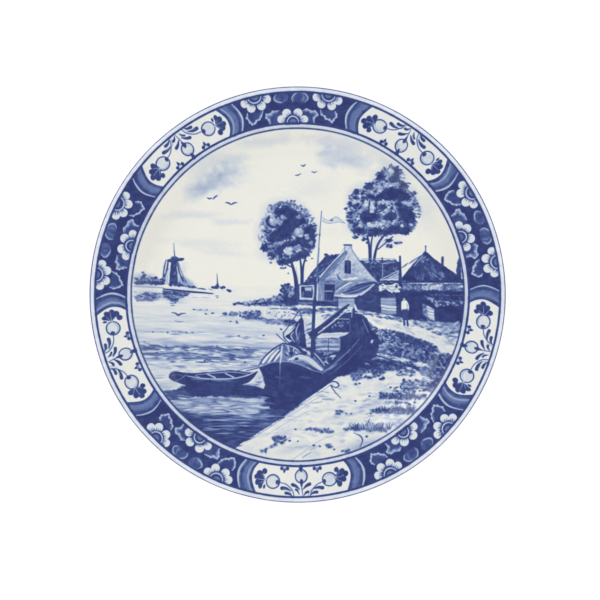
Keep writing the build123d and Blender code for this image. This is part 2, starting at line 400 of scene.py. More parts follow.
lines((
    ((0.5, 0.9, 1.4), 0.7, ((-120, 50), (-119.6, 43), (-119, 36))),
    ((1.6, 2.6, 3.0, 1.6), 0.92, ((-117, 32.8), (-114.6, 33.8), (-112.4, 34.2), (-110.6, 34.6))),
    ((1.2, 1.6, 1.2), 0.85, ((-125.6, 33), (-126, 28), (-127.6, 21))),
    ((0.8, 1.4, 1.0), 0.8, ((-127.4, 33.6), (-129, 27), (-130.8, 14))),
    (0.8, 0.75, ((-125.4, 25), (-128, 19), (-129, 10))),
    ((1.0, 1.5, 0.8), 0.85, ((-116.4, 31), (-115, 23), (-112, 15))),
    (0.8, 0.7, ((-115.4, 31), (-113, 23), (-107.4, 11))),
    (0.6, 0.4, ((-126.6, 22), (-126.4, 10))),
    ((1.2, 2.0, 1.8, 0.9), 0.94, ((-130, 5.4), (-118, 4.2), (-104, 2.8), (-92, 1.9), (-82, 1.0))),
    (0.9, 0.45, ((-158, 8), (-146, 7.4), (-130, 6.6))),
    ((0.8, 1.3, 0.8), 0.9, ((-96, 6), (-92, 5.6), (-89, 5))),
    (0.8, 0.5, ((-86, 5.4), (-83, 4.4))),
    ((0.5, 0.9, 1.4), 0.85, ((-78.2, 20), (-77.8, 14), (-77.6, 7))),
))
hatch(((-131, 12), (-127.6, 12), (-128, 20), (-130, 20)), 9, (0.9, 0.8), 2.2, 1.3, 60, 30)
hatch(((-113, 20), (-108, 12), (-110, 11), (-114, 17)), 9, (0.9, 0.8), 2.2, 1.2, -60, 30)
hatch(((-116, 13), (-108, 11), (-98, 7.6), (-98, 6), (-117, 8)), 30, (0.92, 0.8), 3.4, 1.6, -16, 18)
hatch(((-116, 13), (-108, 12), (-100, 8), (-112, 9)), 10, (0.5, 0.3), 2.6, 1.1, -16, 18)
hatch(((-126, 10.6), (-116, 10.6), (-116, 8), (-126, 8.4)), 12, (0.9, 0.75), 2.8, 1.5, 0, 24)
area(((-82, 7.4), (-79, 9), (-77.6, 11.4), (-75.4, 8), (-77, 5.4), (-80.6, 5.6)), 0.88, rough=0.5)
scatter(((-82, 7), (-73.6, 6.6), (-71.6, 7.2), (-67.6, 4.4), (-66, 3.6)), 2.4, 0.9, -10, 8)
dashes(((-80, -76, -1.4), (-79, -76.6, -3)), 0.6, 1.0)
hatch(((-158, 3.4), (-132, 2.4), (-134, -6), (-156, -7)), 60, (0.35, 0.55, 0.7), 4.2, 1.7, 0, 14)
hatch(((-150, 2), (-134, 1.6), (-138, -4), (-148, -4.6)), 22, (0.85, 0.75), 3.2, 1.7, 0, 20)
area(((-131.4, 4), (-110, 2.6), (-106, -1), (-114, -3), (-118, -8), (-123, -7), (-128, -2)),
    0.8, rough=1.4, soft=1.2, grain=0.1, field=trickles)
hatch(((-131, 4), (-106, 1.4), (-108, -4), (-120, -9), (-130, -2)), 40, (0.93, 0.8, 0.55), 4.0, 1.4, -2, 10)
hatch(((-130, 3), (-108, 1), (-118, -6)), 12, (0.25, 0.4), 3.4, 0.9, -2, 8)
dashes(((-124, -118, -8.5), (-123, -119, -10.5), (-121, -117, -6)), 0.7)
ripples(-106, -84, -4, 1, 7, 0.3, 0.1, 6, 0.8)
lines((
    ((0.6, 1.2, 1.6, 1.2, 0.5), 0.88, ((-122, -17.4), (-118.6, -18), (-115.6, -19.8), (-112.6, -18.4),
        (-108.4, -18))),
    ((0.6, 1.0, 0.6), 0.55, ((-119, -25.4), (-115, -26.2), (-111, -26))),
))

# The near end of the far shore: bushes and reeds left of the house, in rows with pale water between.
area(((-60, -8.6), (-40, -5.6), (-28, -3), (-16, 0), (-6, 2), (0, -2), (2, -12), (-30, -11),
    (-60, -10.2)), 0.6, soft=1.2, rough=1.6, grain=0.3)
hatch(((-66, -7.6), (-40, -5), (-24, -2), (-12, 0), (0, 2), (0, -11), (-30, -10.6), (-66, -10.2)),
    110, (0.95, 0.9, 0.7, 0.45), 2.8, 2.0, 70, 40)
hatch(((-42, -5.4), (-30, -4.4), (-30, -10), (-42, -10)), 22, (0.95,), 3.0, 2.2, 60, 40)
hatch(((-16, -2), (0, 0), (0, -11), (-12, -10.4)), 40, (0.95, 0.9), 3.4, 2.4, 60, 40)
hatch(((-66, -7.6), (-44, -6), (-30, -4), (-18, -1), (-18, -5), (-44, -9)),
    26, (0.2, 0.35), 2.2, 1.1, 70, 30)
foliage(((-12, 4, 4.5, 6, 0.86), (-6, 2, 5, 6, 0.84), (-2, -4, 5, 4, 0.94)), 1.2)
scatter(((-15, 8.6), (-12, 9.8), (-9, 10), (-16, 4), (-17, 0), (-14, 6)), 2.4, 0.93)
hatch(((-10, 6), (-3, 7), (-3, -1), (-9, 0)), 12, (0.3, 0.45), 2.4, 1.5, 40, 40)
hatch(((-31, -12), (2, -12.8), (2, -15), (-30, -14)), 26, (0.93, 0.8), 3.4, 1.2, -4, 8)
lines((
    (1.4, 0.06, ((-64, -12.6), (-34, -12.8), (-30, -12.4))),
    (0.9, 0.1, ((-30, -12.4), (-12, -13), (0, -13.6))),
))
hatch(((-35, -15), (-4, -16), (-6, -23), (-34, -22)), 44, (0.04, 0.12, 0.25), 4.0, 1.4, 70, 30, 0.7)
hatch(((-34, -15.6), (-4, -16.4), (-8, -22), (-34, -21)), 12, (0.5, 0.65), 2.2, 1.0, 60, 40)
hatch(((-77, -17.6), (-58, -16.6), (-58, -21.8), (-70, -20.4)), 44, (0.85, 0.7, 0.5), 2.6, 1.7, 60, 50)
hatch(((-64, -17), (-44, -15.2), (-35, -14.6), (-35, -22), (-54, -22.6)),
    80, (0.88, 0.7, 0.5), 2.8, 1.7, 66, 40)
hatch(((-54, -20), (-30, -22.4), (-30, -25), (-52, -24)), 40, (0.85, 0.65), 3.2, 1.4, -6, 20)
hatch(((-36, -23), (-4, -23.6), (-4, -31), (-32, -28.6)), 70, (0.35, 0.5, 0.62), 4.4, 1.9, 0, 20)
hatch(((-14, -24), (0, -24), (0, -29), (-12, -28)), 18, (0.93, 0.8), 3.4, 1.9, 10, 30)
scatter(((-100.4, -14.4), (-95.6, -15), (-94, -14.8), (-89, -18.6), (-82.4, -18), (-88, -14.8),
    (-65, -26), (-59, -26), (-58.6, -27.6)), 1.7, 0.75)
dashes(((-100, -88, -15), (-76, -64, -20.6), (-52, -34, -24.6)), 0.35, 1.0)

# The first tree.
MIXED = (0.15, 0.3, 0.6, 0.95, 0.95)  # the tones of leaves in light and in shade
for x, z, w, h in ((-12, 80, 44, 26), (-22, 60, 40, 34), (0, 60, 42, 46), (-16, 42, 44, 24)):
    dab(x, z, max(w, h), min(w, h), 90 if h > w else 0, 0.13, soft=7, strength=0.8)
lines((
    ((1.8, 2.4, 3.6, 4.4), 0.95, ((-9, 42), (-5.6, 30), (-2, 16), (-0.4, -2))),
    ((1.4, 2.0, 3.0), 0.93, ((1, 42), (3.4, 27), (4.2, 6))),
    ((1.4, 1.8, 2.4), 0.95, ((10, 42), (5.6, 28), (4.6, 8))),
    (1.3, 0.9, ((-18, 36), (-12, 30), (-6.4, 27))),
    (0.9, 0.2, ((-1.6, 27), (0.6, 14), (1.8, 2))),
))
area((
    (-30, 66), (-30, 74), (-25, 81), (-20, 87), (-12, 89), (-3, 86), (6, 81), (10, 77), (12, 70),
    (16, 62), (17, 48), (12, 38), (4, 37), (-4, 34), (-16, 32), (-22, 36), (-33, 44), (-34, 52),
    (-30, 58)), 0.42, soft=1.5, rough=3, grain=0.4)
fringe(-9, 62, 25, 26, 90, 0.6, (-20, 240))
foliage((
    (-22, 84, 7, 4, 0.5), (-10, 87, 8, 3, 0.5), (6, 80, 6, 4, 0.5), (-30, 62, 4, 6, 0.5),
    (-8, 53, 9, 4, 0.4), (0, 65, 6, 6, 0.4), (-24, 43, 7, 5, 0.4), (-8, 40, 8, 6, 0.4),
    (6, 42, 7, 5, 0.5), (-24, 70, 6, 6, 0.4), (12, 54, 4, 6, 0.6), (-16, 36, 8, 4, 0.5)), 1.0, 1.0, MIXED)
masses((
    ((-21, 82), (-12, 85), (-3, 82), (5, 76), (9, 72), (6, 68),
        (-1, 64), (-7, 57), (-16, 52), (-26, 51), (-29, 55), (-24, 60), (-18, 65), (-14, 71), (-22, 77)),
    ((7, 65), (14, 67), (17, 61), (17, 50), (12, 44), (5, 48), (-1, 53), (5, 58)),
    ((-22, 41), (-19, 46), (-10, 51), (0, 53), (6, 48), (0, 46), (-8, 46), (-14, 41), (-18, 37)),
    ((-19, 32), (-15, 35), (-6, 36), (-1, 38),
        (6, 43), (11, 41), (7, 36), (-3, 32), (-12, 29.6), (-17, 29)),
    ((-35, 45), (-34, 48), (-29, 50), (-25, 48), (-28, 44), (-32, 42)),
    ((-28, 38), (-25, 40), (-21, 38), (-24, 35)),
))
lines((
    ((1.4, 2.4, 2.4, 1.2), 0.95, ((-28, 76), (-30, 71), (-26, 66), (-20, 65))),
    ((1.0, 2.0, 1.0), 0.9, ((-33, 62), (-29, 60), (-25, 61))),
    ((1.6, 2.4, 1.2), 0.6, ((-22, 87), (-16, 89.4), (-10, 88))),
    ((0.8, 1.4, 0.8), 0.4, ((-37, 65), (-35, 70), (-31, 73))),
    ((0.8, 1.2, 0.8), 0.45, ((-38, 58), (-37, 53), (-34, 55))),
))
foliage(((-22.6, 70.6, 4, 4, 0.22), (-9, 42, 4.4, 3.4, 0.08), (1, 62, 3.6, 3, 0.16), (3, 57, 2, 1.6, 0.1),
    (-13, 74, 2.4, 1.6, 0.4), (1, 75, 3, 1.8, 0.45), (9, 56, 1.8, 2.4, 0.35), (13, 50, 1.6, 2.6, 0.4),
    (-26, 47, 2.4, 1.4, 0.4), (0, 45, 3.6, 2.6, 0.42)), 0.8)
scatter(((-12, 26), (14, 35), (8, 33), (-26, 31), (-3, 90.6), (-6, 91), (-14, 25.6), (-9, 20.6),
    (-16, 25.8)), 1.7, 0.8)

# The second tree.
shade = ((88, 112, 34, 26), (66, 92, 40, 36), (96, 90, 44, 40), (80, 68, 66, 26), (86, 51, 26, 10))
for x, z, w, h in shade:
    dab(x, z, max(w, h), min(w, h), 90 if h > w else 0, 0.13, soft=6, strength=0.8)
lines((
    ((1.6, 2, 2.4), 0.95, ((63, 62), (67.4, 56), (69.4, 46), (70, 30))),
    ((1.2, 1.6, 1.8), 0.9, ((73.4, 60), (71.4, 50), (70.8, 32))),
    ((1.8, 2.2, 2.8), 0.95, ((86, 60), (79, 51), (75.6, 42), (73.6, 30))),
    (1.2, 0.9, ((92, 56), (85, 50), (78, 44))),
))
area((
    (50, 62), (48, 72), (51, 80), (50, 90), (56, 100), (64, 104), (70, 109), (77, 112), (78, 118),
    (88, 121), (98, 120), (101, 110), (107, 102), (110, 90), (114, 76), (110, 62), (104, 58), (90, 59),
    (78, 57), (66, 58)), 0.42, soft=1.5, rough=3, grain=0.4)
fringe(84, 80, 32, 26, 60, 0.75, (-50, 50))
fringe(80, 82, 31, 24, 60, 0.75, (130, 230))
fringe(90, 108, 13, 15, 34, 0.7, (10, 170))
foliage((
    (74, 104, 8, 5, 0.5), (94, 114, 6, 6, 0.6), (84, 108, 8, 5, 0.5), (60, 94, 8, 8, 0.5),
    (56, 84, 7, 4, 0.5), (72, 84, 6, 8, 0.3), (86, 84, 10, 6, 0.4), (104, 82, 8, 8, 0.6),
    (90, 76, 10, 5, 0.5), (60, 70, 9, 6, 0.5), (78, 68, 10, 5, 0.5), (100, 70, 10, 5, 0.5),
    (66, 60, 12, 4, 0.6), (92, 62, 14, 4, 0.6), (106, 94, 5, 5, 0.5)), 1.1, 1.0, MIXED)
masses((
    ((77, 112), (78, 117), (82, 118), (84.4, 114), (82, 111)),
    ((89, 112), (93, 117), (92, 123), (97, 121), (98, 113), (94, 109)),
    ((97.8, 109.6), (102, 109), (106.6, 106.4), (105.4, 103.6), (100, 103.4)),
    ((64.4, 104.4), (69.4, 109), (72.2, 104.6), (67, 101)),
    ((67.8, 96.7), (76.7, 96), (84.4, 101.4), (92.2, 104),
        (101, 101), (108, 95.5), (108, 91.6), (100, 91), (84.4, 91.4), (76.7, 91.4), (69, 93)),
    ((95, 87), (99, 90), (103, 87), (100, 84)),
    ((79, 85), (82, 88), (86, 85), (82, 82.4)),
    ((60, 77.8), (65.5, 80.4), (72, 80), (77.8, 76.7), (77.4, 73), (69, 70), (62.2, 70.6)),
    ((97, 83), (105.5, 85.5), (112, 79), (114, 72), (109, 69), (101, 72), (98, 77)),
    ((84, 76), (90, 80), (96, 77), (92, 72.4), (86, 72.6)),
    ((53, 62), (60, 66), (66, 63), (64, 60), (57, 59.6)),
    ((80, 62), (86, 63.6), (94, 67.4), (103, 67), (110, 63.6), (105, 58.6), (94, 59.4), (84, 58)),
    ((69, 60), (76, 65), (81, 61), (78, 57.4), (71, 57.4)),
))
foliage(((56, 99, 3, 2.4, 0.92), (63, 98.5, 2.6, 2, 0.9), (57, 93.6, 2.6, 2, 0.92),
    (64.4, 92.6, 3, 2.4, 0.94), (50, 88, 2.6, 1.6, 0.92), (57.6, 85, 3.4, 2, 0.92),
    (51, 79, 3, 1.8, 0.92), (51, 71.6, 3, 1.8, 0.9), (56, 68.6, 2.6, 1.6, 0.9),
    (56, 55.4, 2.4, 1.4, 0.85), (64, 53.4, 2.6, 1.8, 0.85), (68, 51, 1.2, 1, 0.8),
    (87.8, 52.4, 3.6, 1.8, 0.9), (97.8, 50.2, 3, 1.4, 0.9), (89, 47, 3.2, 2, 0.85),
    (112, 98, 3.4, 1.2, 0.85), (114, 87.4, 2.6, 1.2, 0.85), (110, 84, 2, 1.6, 0.8)), 0.8)
foliage(((71.6, 84, 2.4, 6, 0.06), (66, 87, 1.6, 3.6, 0.1), (84, 89.6, 5, 1.6, 0.16),
    (105, 88.4, 4, 1.4, 0.14), (90.4, 119.6, 3, 2.2, 0.16), (88, 81, 2.6, 1.6, 0.3),
    (79, 104, 2.6, 1.6, 0.25), (86, 107, 3, 1.2, 0.3), (95, 106.6, 3, 1, 0.3), (72, 68, 3, 2.2, 0.14),
    (62, 66.8, 2, 1.2, 0.14), (101, 66.4, 1.5, 1.4, 0.1), (68, 99, 3, 1.4, 0.4)), 0.7)
lines((
    (1.3, 0.92, ((69.6, 90), (69.2, 84), (69.4, 76))),
    (1.1, 0.9, ((75.8, 92), (76.4, 86), (75.6, 78))),
    (0.8, 0.55, ((86.4, 120.4), (89, 123.4), (93, 123.8))),
))

# Beside the house: a low barn, a thatched barn, and the dark yard wall between them with a cloth over it.
area(((60, 33), (95, 33.5), (100, 30), (101, 12), (77, 12), (58, 12)), 0.93, rough=0.5, grain=0.06)
hatch(((62, 33), (94, 33), (94, 29.5), (64, 29.5)), 22, (0.3, 0.45, 0.6), 3.2, 1.3, 8, 25)
hatch(((64, 29), (96, 28), (96, 16), (76, 14)), 26, (0.62, 0.75, 0.82), 4.5, 1.4, -20, 30)
lines((
    (0.7, 0.5, ((62, 34.4), (78, 34.8), (95, 34.4))),
    (0.8, 0.35, ((82.2, 31), (82.4, 22), (82, 17))),
    (1.2, 0.9, ((82, 35.6), (82, 31))),
    ((1.8, 2.6, 2.4), 0.94, ((99.2, 37), (99.3, 18), (99, 0))),
    ((0.7, 1.6, 1.4, 0.6), 0.75, ((101, 26), (106, 29.5), (110, 31.6), (118, 37))),
))
area(((80, 14), (90, 18), (98, 22.6), (98, 13.6)), 0.3, rough=0.9, grain=0.16)
lines((
    (0.8, 0.1, ((80, 14.4), (90, 19.4), (97.6, 23.4))),
    (0.8, 0.5, ((84, 15), (91, 16.4), (97, 20))),
    (0.7, 0.06, ((80, 14), (88, 14.6), (97, 14.6))),
))
area(((101, 13), (101, 16), (112, 30), (123, 42), (125, 41.4), (132, 35), (140, 29), (150, 22), (160, 14),
    (160, 12)), 0.95, rough=0.4, grain=0.04)
thatch = ((104, 14), (113, 28), (121, 37), (128, 36), (142, 26), (156, 15))
hatch(thatch, 50, (0.78, 0.86), 4.6, 1.2, 62, 22)
hatch(((112, 14), (118, 21), (124, 20), (122, 13.6)), 12, (0.6, 0.7), 3.8, 1.0, 75, 14)
hatch(((116, 33), (121, 37.6), (128, 34.6), (124, 31)), 9, (0.4, 0.55, 0.7), 3.2, 1.3, 30, 30)
hatch(((126, 14), (129, 27), (137, 27), (150, 14)), 28, (0.45, 0.6, 0.74), 3.6, 1.0, -52, 14)
hatch(((120, 16), (124, 30), (133, 30), (132, 16)), 16, (0.6, 0.74), 4.0, 1.0, -80, 12)
lines((
    (1.0, 0.05, ((101, 22), (109, 32), (122, 44))),
    (1.0, 0.85, ((124, 41), (124, 46.5))),
    ((0.8, 1.4, 0.8), 0.45, ((112.6, 27.6), (117, 33), (121.4, 38))),
))
dab(124, 46.8, 1.8, 1.8, 0, 0.75)
area(((138.8, 28), (141.4, 27), (141.4, 37), (139, 37)), 0.85, rough=0.3)
area(((153, 16), (153.4, 28), (155.4, 35), (157, 29), (158, 16)), 0.92, rough=0.8)
area(((100, 11), (162, 11), (162, 2), (100, 1)), 0.72, rough=0.8, grain=0.16, field=trickles)
hatch(((102, 10.4), (144, 10.4), (144, 3.2), (102, 3.2)), 66, (0.3, 0.45, 0.6), 2.6, 1.0, 78, 30)
hatch(((120, 9.6), (142, 9.6), (140, 4), (118, 4)), 30, (0.08, 0.2), 3.4, 1.2, 14, 18)
hatch(((143, 10), (158, 10), (158, 3), (143, 3)), 26, (0.3, 0.4, 0.6), 2.4, 1.1, 60, 50)
hatch(((102, 4.4), (158, 4.4), (158, 1.4), (102, 1.4)), 36, (0.9, 0.97), 3.6, 1.6, 10, 25)
stroke(((100, 12), (125, 12.2), (160, 12)), 1.5, 0.96)
dab(158.5, 7.8, 4.4, 1.7, 0, 0.04)
area(((57, 12), (101, 12), (102, -3), (102, -24), (96, -22), (58, -14), (52, -2)),
    0.94, rough=0.5, grain=0.05)
hatch(((60, 10), (98, 10), (96, -20), (60, -10)), 40, (0.78, 0.86), 5.0, 1.6, 20, 50)
area(((78.6, 4), (79, 8), (83, 10.6), (88, 9.4), (92, 10), (97, 11), (100.5, 8), (99, 4.6), (95, 1.4),
    (90, 2.6), (86, 4.6), (83, 3.4)), 0.05, rough=1.6, curve=True)
hatch(((79, 4), (82, 10), (98, 11), (100, 5), (90, 2)), 9, (0.2, 0.45, 0.9), 2.6, 1.1, 30, 40)
hatch(((92, 11), (101, 11), (101, 3), (97, 3)), 7, (0.9, 0.7), 2.6, 1.4, 60, 30)
lines(((0.9, 0.4, ((82, 5.4), (87, 6.2), (91, 4.4), (94, 4.8))), (0.7, 0.3, ((86, 8.2), (93, 7.8)))))
area(((100, 3), (122, 3), (122, -29), (110, -27), (100, -22)), 0.96, rough=0.4, grain=0.04)
area(((80.5, -3), (95, -2.6), (95.4, -19), (81, -19)), 0.5, rough=0.3, grain=0.1)
lines((
    (1.2, 0.3, ((81, -4.6), (88, -5), (94.8, -4.8))),
    (1.5, 0.36, ((81, -7.4), (88, -8), (95, -7.8))),
    (2.0, 0.1, ((81.4, -10.6), (88, -11.8), (95, -12.2))),
    (1.6, 0.12, ((82, -13.6), (88, -14.6), (95, -14.8))),
    (1.2, 0.4, ((82, -16.6), (88, -17), (95, -17.4))),
))
area(((121, 3), (162, 3), (162, -14), (158, -30), (121, -26)), 0.96, rough=0.4, grain=0.04)
hatch(((124, 0.6), (161, 0.6), (161, -1.6), (126, -1.6)), 14, (0.6, 0.72), 3.0, 1.0, -20, 30)
hatch(((122, -1), (128, -2), (138, -10), (134, -12)), 24, (0.12, 0.3, 0.5), 3.4, 1.1, -42, 14)
hatch(((126, -3), (162, -3), (162, -10.6), (133, -10.6)), 44, (0.3, 0.45, 0.65), 2.8, 1.1, -48, 30)
hatch(((133, -7), (162, -5), (162, -10.6), (135, -10.6)), 24, (0.1, 0.25), 3.0, 1.1, 35, 25)
hatch(((126, -4), (162, -4), (162, -10), (133, -10)), 26, (0.92, 0.97), 3.0, 1.3, -30, 35)
area(((121, -9), (125, -10), (132.6, -14), (132.8, -25), (127.4, -24), (121.6, -19)),
    0.5, rough=0.5, grain=0.1)
area(((125.4, -11), (132, -14.4), (132.4, -24.6), (127.4, -23.4), (125.6, -18)), 0.1, rough=0.4)
for z in (-14, -17, -20, -22.6):
    stroke(((125.8, z + 0.6), (129, z), (132.4, z - 1)), 0.7, 0.5)
hatch(((121, -9), (125, -10), (127, -23), (121.6, -18)), 14, (0.3, 0.6, 0.8), 3.0, 1.0, 70, 25)
area(((133, -12.6), (161, -13.5), (160, -26), (133, -25.6)), 0.96, rough=0.3, grain=0.03)
hatch(((110, -23), (126, -24), (126, -31), (108, -30)), 26, (0.2, 0.45, 0.7), 4.2, 1.2, -8, 8)
area(((126, -26), (160, -27), (158, -33.6), (140, -32.5), (126, -31)),
    0.52, rough=0.7, grain=0.15, field=trickles)
hatch(((124, -25), (160, -27), (158, -34), (128, -33)), 46, (0.1, 0.45, 0.65), 3.8, 1.2, -4, 14)
hatch(((124, -23), (130, -24), (132, -36), (126, -34)), 18, (0.35, 0.6, 0.8), 3.0, 1.3, -50, 30)
hatch(((128, -32), (142, -33), (158, -33.6), (156, -38), (140, -37), (128, -35)),
    40, (0.2, 0.6, 0.8), 3.4, 1.3, 4, 30)

# The house: dark roof, white gable, a lean-to, door and windows.
area(((-1, 10), (20, 11), (20, -10), (-1, -8)), 0.9, rough=0.6, grain=0.1)
area(((5.2, 10), (9, 15), (12, 19.6), (19, 28), (26.4, 36.6), (30, 37.4), (43, 39), (34, 26), (22, 14),
    (20, 10.6), (6, 9.4)), 0.95, rough=0.6, grain=0.05)
scatter(((27.6, 38.6), (29.4, 37.4), (33.4, 37.8), (37, 38.4), (40, 38.2)), 2.6, 0.9)
hatch(((12, 19), (26, 34), (40, 38), (38, 33), (24, 18)), 26, (0.62, 0.75), 4.6, 1.2, 47, 10)
hatch(((22, 20), (40, 38), (43, 38), (26, 18)), 12, (0.35, 0.5), 4.2, 1.0, 46, 8)
hatch(((6, 11), (13, 19), (24, 19), (22, 9.6)), 30, (0.4, 0.55, 0.8), 2.6, 1.4, 10, 35)
hatch(((6, 11), (13, 17), (22, 16), (20, 10)), 12, (0.9, 0.96), 3.0, 1.5, 40, 30)
wall = ((23, 13), (46, 47.6), (52, 47.6), (52.6, 44), (60, 33), (68, 22), (77, 12), (62, 8), (44, 10),
    (30, 12))
area(wall, 0.17, rough=0.3, grain=0.06)
hatch(wall, 90, (0.16, 0.3, 0.44), 5.4, 1.2, 44, 16, 0.75)
wash(50, 16, 12, 8, 0.2, 20)
wash(58, 22, 10, 8, 0.12, -40)
area(((20, 12), (24.5, 13), (34, 11), (42, 4), (42, -10), (20, -10)), 0.56, rough=0.5, grain=0.15)
area(((24, 14), (44, 14.4), (62, 13), (55, 6), (42, 1), (36, -2), (34, 4), (24, 8)),
    0.48, rough=0.8, grain=0.15)
lines((
    ((4.4, 5.8, 5.8, 4.8), 0.58, ((46.4, 40.6), (40, 33.6), (32, 25), (23, 14.6))),
    ((0.9, 1.5, 1.2), 0.06, ((45.8, 43.4), (33, 29.6), (21.6, 16.6))),
    ((0.6, 1.0, 0.8), 0.75, ((44.4, 40.6), (32, 27.6), (21, 14.4))),
    (1.5, 0.85, ((45, 48.2), (52.2, 48))),
    (0.9, 0.5, ((45.8, 47.4), (45.6, 42.6))),
    (0.9, 0.6, ((52.2, 47.6), (52.8, 43.4), (58, 35.4), (63, 29))),
    (0.9, 0.3, ((64, 27), (71, 18.6), (78, 11))),
))
hatch(((25, 16), (44, 38), (47, 36), (40, 26), (28, 15)), 26, (0.28, 0.4, 0.62), 4.6, 1.1, 47, 9)
hatch(((28, 15), (46, 34), (46, 26), (38, 17)), 26, (0.12, 0.3, 0.45), 4.8, 1.0, 44, 14)
hatch(((24, 16), (46, 17), (56, 14), (44, 12), (24, 11)), 34, (0.4, 0.55, 0.68), 4.6, 1.3, -4, 14)
hatch(((36, 4), (46, 13), (56, 12), (50, 8), (42, 1)), 36, (0.25, 0.45, 0.65), 5.4, 1.1, 34, 10)
hatch(((34, 4), (36, 12), (44, 13), (44, 6), (40, 0)), 18, (0.5, 0.7), 4.4, 1.2, 40, 12)
hatch(((44, 16), (62, 17), (78, 12), (62, 10), (48, 12)), 34, (0.3, 0.45, 0.58), 5.4, 1.2, 8, 12)
hatch(((54, 18), (58, 30), (61, 30), (72, 16), (62, 15)), 12, (0.15, 0.25), 5.0, 1.1, -48, 18)
hatch(((42, 15), (56, 17), (58, 14.6), (44, 13)), 9, (0.02, 0.06), 4.8, 1.4, 14, 10)
lines((
    ((1.0, 1.8, 1.0), 0.42, ((60, 13.6), (50, 10), (38, 1))),
    ((0.8, 1.2, 0.6), 0.04, ((54, 13), (46, 9), (37, 2.4))),
    ((0.8, 1.5, 0.8), 0.5, ((74, 12.8), (62, 13.4), (50, 12.6))),
    (1.4, 0.7, ((38.4, 19), (40, 16.6))),
    (1.0, 0.5, ((43, 23.6), (46, 27.4))),
))
area(((45.4, 20.6), (51.6, 20), (51.8, 31.6), (50, 33.4), (45.6, 33.2)), 0.95, rough=0.3)
lines((
    (0.5, 0.6, ((48.6, 32), (48.7, 22))),
    (0.8, 0.12, ((52.4, 32), (52.4, 21))),
    (0.7, 0.3, ((44.8, 32), (44.8, 21))),
))
area(((43, 1.4), (48, 4), (52, 7), (57, 9.6), (64, 11.4), (74, 12.6), (78, 11.6), (70, 6), (60, 2),
    (48, -0.8)), 0.9, rough=0.4)
lines((
    ((1.0, 1.6, 1.0), 0.5, ((45, 0.9), (54, 3.0), (64, 6.8), (72, 10))),
    ((0.8, 1.2, 0.8), 0.7, ((50, 1.6), (58, 3.4), (68, 7.8))),
    ((0.5, 0.9, 0.5), 0.62, ((48, 4.2), (56, 6.6), (64, 9))),
    ((1.6, 3.0, 2.4, 1.4), 0.16, ((36, -0.8), (46, -1.2), (58, -0.8), (66, 3.4), (74, 10))),
    ((1.0, 1.4, 0.6), 0.03, ((44, -1.6), (54, -2), (60, -0.8))),
    ((0.6, 1.0, 0.6), 0.45, ((46, 0), (56, 0.6), (64, 4))),
    (1.7, 0.94, ((37, -3), (46, -3.6), (55.6, -3.4), (60, -1.4))),
))
area(((25.6, 10.4), (36, 9.8), (36, 4), (34.4, -6), (26, -5.4)), 0.95, rough=0.3)
stroke(((26.4, 3.4), (33.6, 3.4)), 0.9, 0.25)
stroke(((25.3, 9.6), (25.3, -5.6)), 0.9, 0.4)
stroke(((27.8, 2.6), (27.6, -5)), 0.7, 0.72)
hatch(((20.4, 10), (24.6, 10), (24.6, -5), (20.4, -5)), 14, (0.3, 0.42, 0.55), 4.6, 1.0, 88, 8)
area(((1.8, 8.8), (17.0, 9.4), (16.4, -5.2), (2, -4.6)), 0.13, rough=0.5)
area(((3.4, 7.8), (15.2, 8.2), (14.8, -3.8), (12, -3), (3.6, -2.8)), 0.9, rough=0.3)
area(((6.6, 7), (13.6, 7), (13, 2.4), (8, 2.4)), 0.25, rough=0.4)
area(((7.6, 3.6), (12.4, 3.6), (14, -1.6), (6.4, -1.6)), 0.9, rough=0.5)
lines((
    (1.0, 0.2, ((14.4, 8), (15.4, 2), (14.6, -3))),
    (0.9, 0.5, ((5.6, 3), (5, -2))),
    (1.0, 0.75, ((2, -5.6), (16, -6.4))),
))
stroke(((19.2, 10), (19, -5.4)), 1.3, 0.06)
stroke(((16.4, 10), (17.4, -6)), 0.9, 0.85)
area(((-2, -5.4), (22, -6.4), (40, -6.6), (40, -11.4), (18, -11), (-2, -9.4)), 0.93, rough=0.6, grain=0.06)
hatch(((2, -6.6), (15, -7), (15, -10.4), (2, -9.8)), 16, (0.55, 0.7), 5.0, 1.2, -4, 8)
hatch(((22, -7), (38, -7), (38, -10.4), (22, -10.4)), 8, (0.75, 0.85), 4.0, 1.2, -4, 12)

# The path with its ruts and the grass along it, the porch, and a figure at the wall.
area(((-2, -10.6), (30, -12.6), (54, -11), (57, -15), (70, -17), (100, -22), (125, -31), (157, -35.5),
    (160, -50), (153, -56), (140, -56), (130, -47), (100, -38), (80, -29), (62, -20), (55, -18),
    (30, -18), (0, -17)), 0.07, rough=0.5, soft=0.8, grain=0.05)
area(((39.4, -3.6), (55, -3.6), (55.4, -12.4), (39.6, -12)), 0.36, rough=0.3, grain=0.15)
lines((
    (0.8, 0.55, ((39.6, -7), (55, -7))),
    (0.9, 0.85, ((38.8, -3.4), (38.8, -12.4))),
))
hatch(((60, -16), (100, -24), (130, -36), (156, -44), (150, -54), (134, -47), (100, -35), (70, -26)),
    60, (0.03, 0.16, 0.34), 7.0, 1.8, -17, 8, 0.7)
hatch(((58, -13), (72, -16), (100, -22), (102, -27), (74, -22), (60, -18)),
    48, (0.4, 0.6, 0.86), 4.0, 1.3, -12, 12)
hatch(((108, -24), (126, -27), (128, -34), (112, -31)), 34, (0.2, 0.45, 0.7), 4.6, 1.2, -8, 8)
hatch(((120, -31), (157, -34), (157, -43), (142, -41), (126, -36)), 60, (0.25, 0.5, 0.75), 4.2, 1.4, -8, 14)
hatch(((142, -40), (157, -42), (152, -50), (146, -47)), 14, (0.2, 0.4), 4.0, 1.2, -20, 14)
hatch(((-4, -12), (40, -13), (54, -17), (30, -22), (-4, -21)), 90, (0.92, 0.8, 0.5), 4.6, 1.4, -3, 10)
hatch(((22, -13), (54, -12), (58, -17), (40, -20)), 26, (0.9, 0.7), 4.4, 1.5, -8, 14)
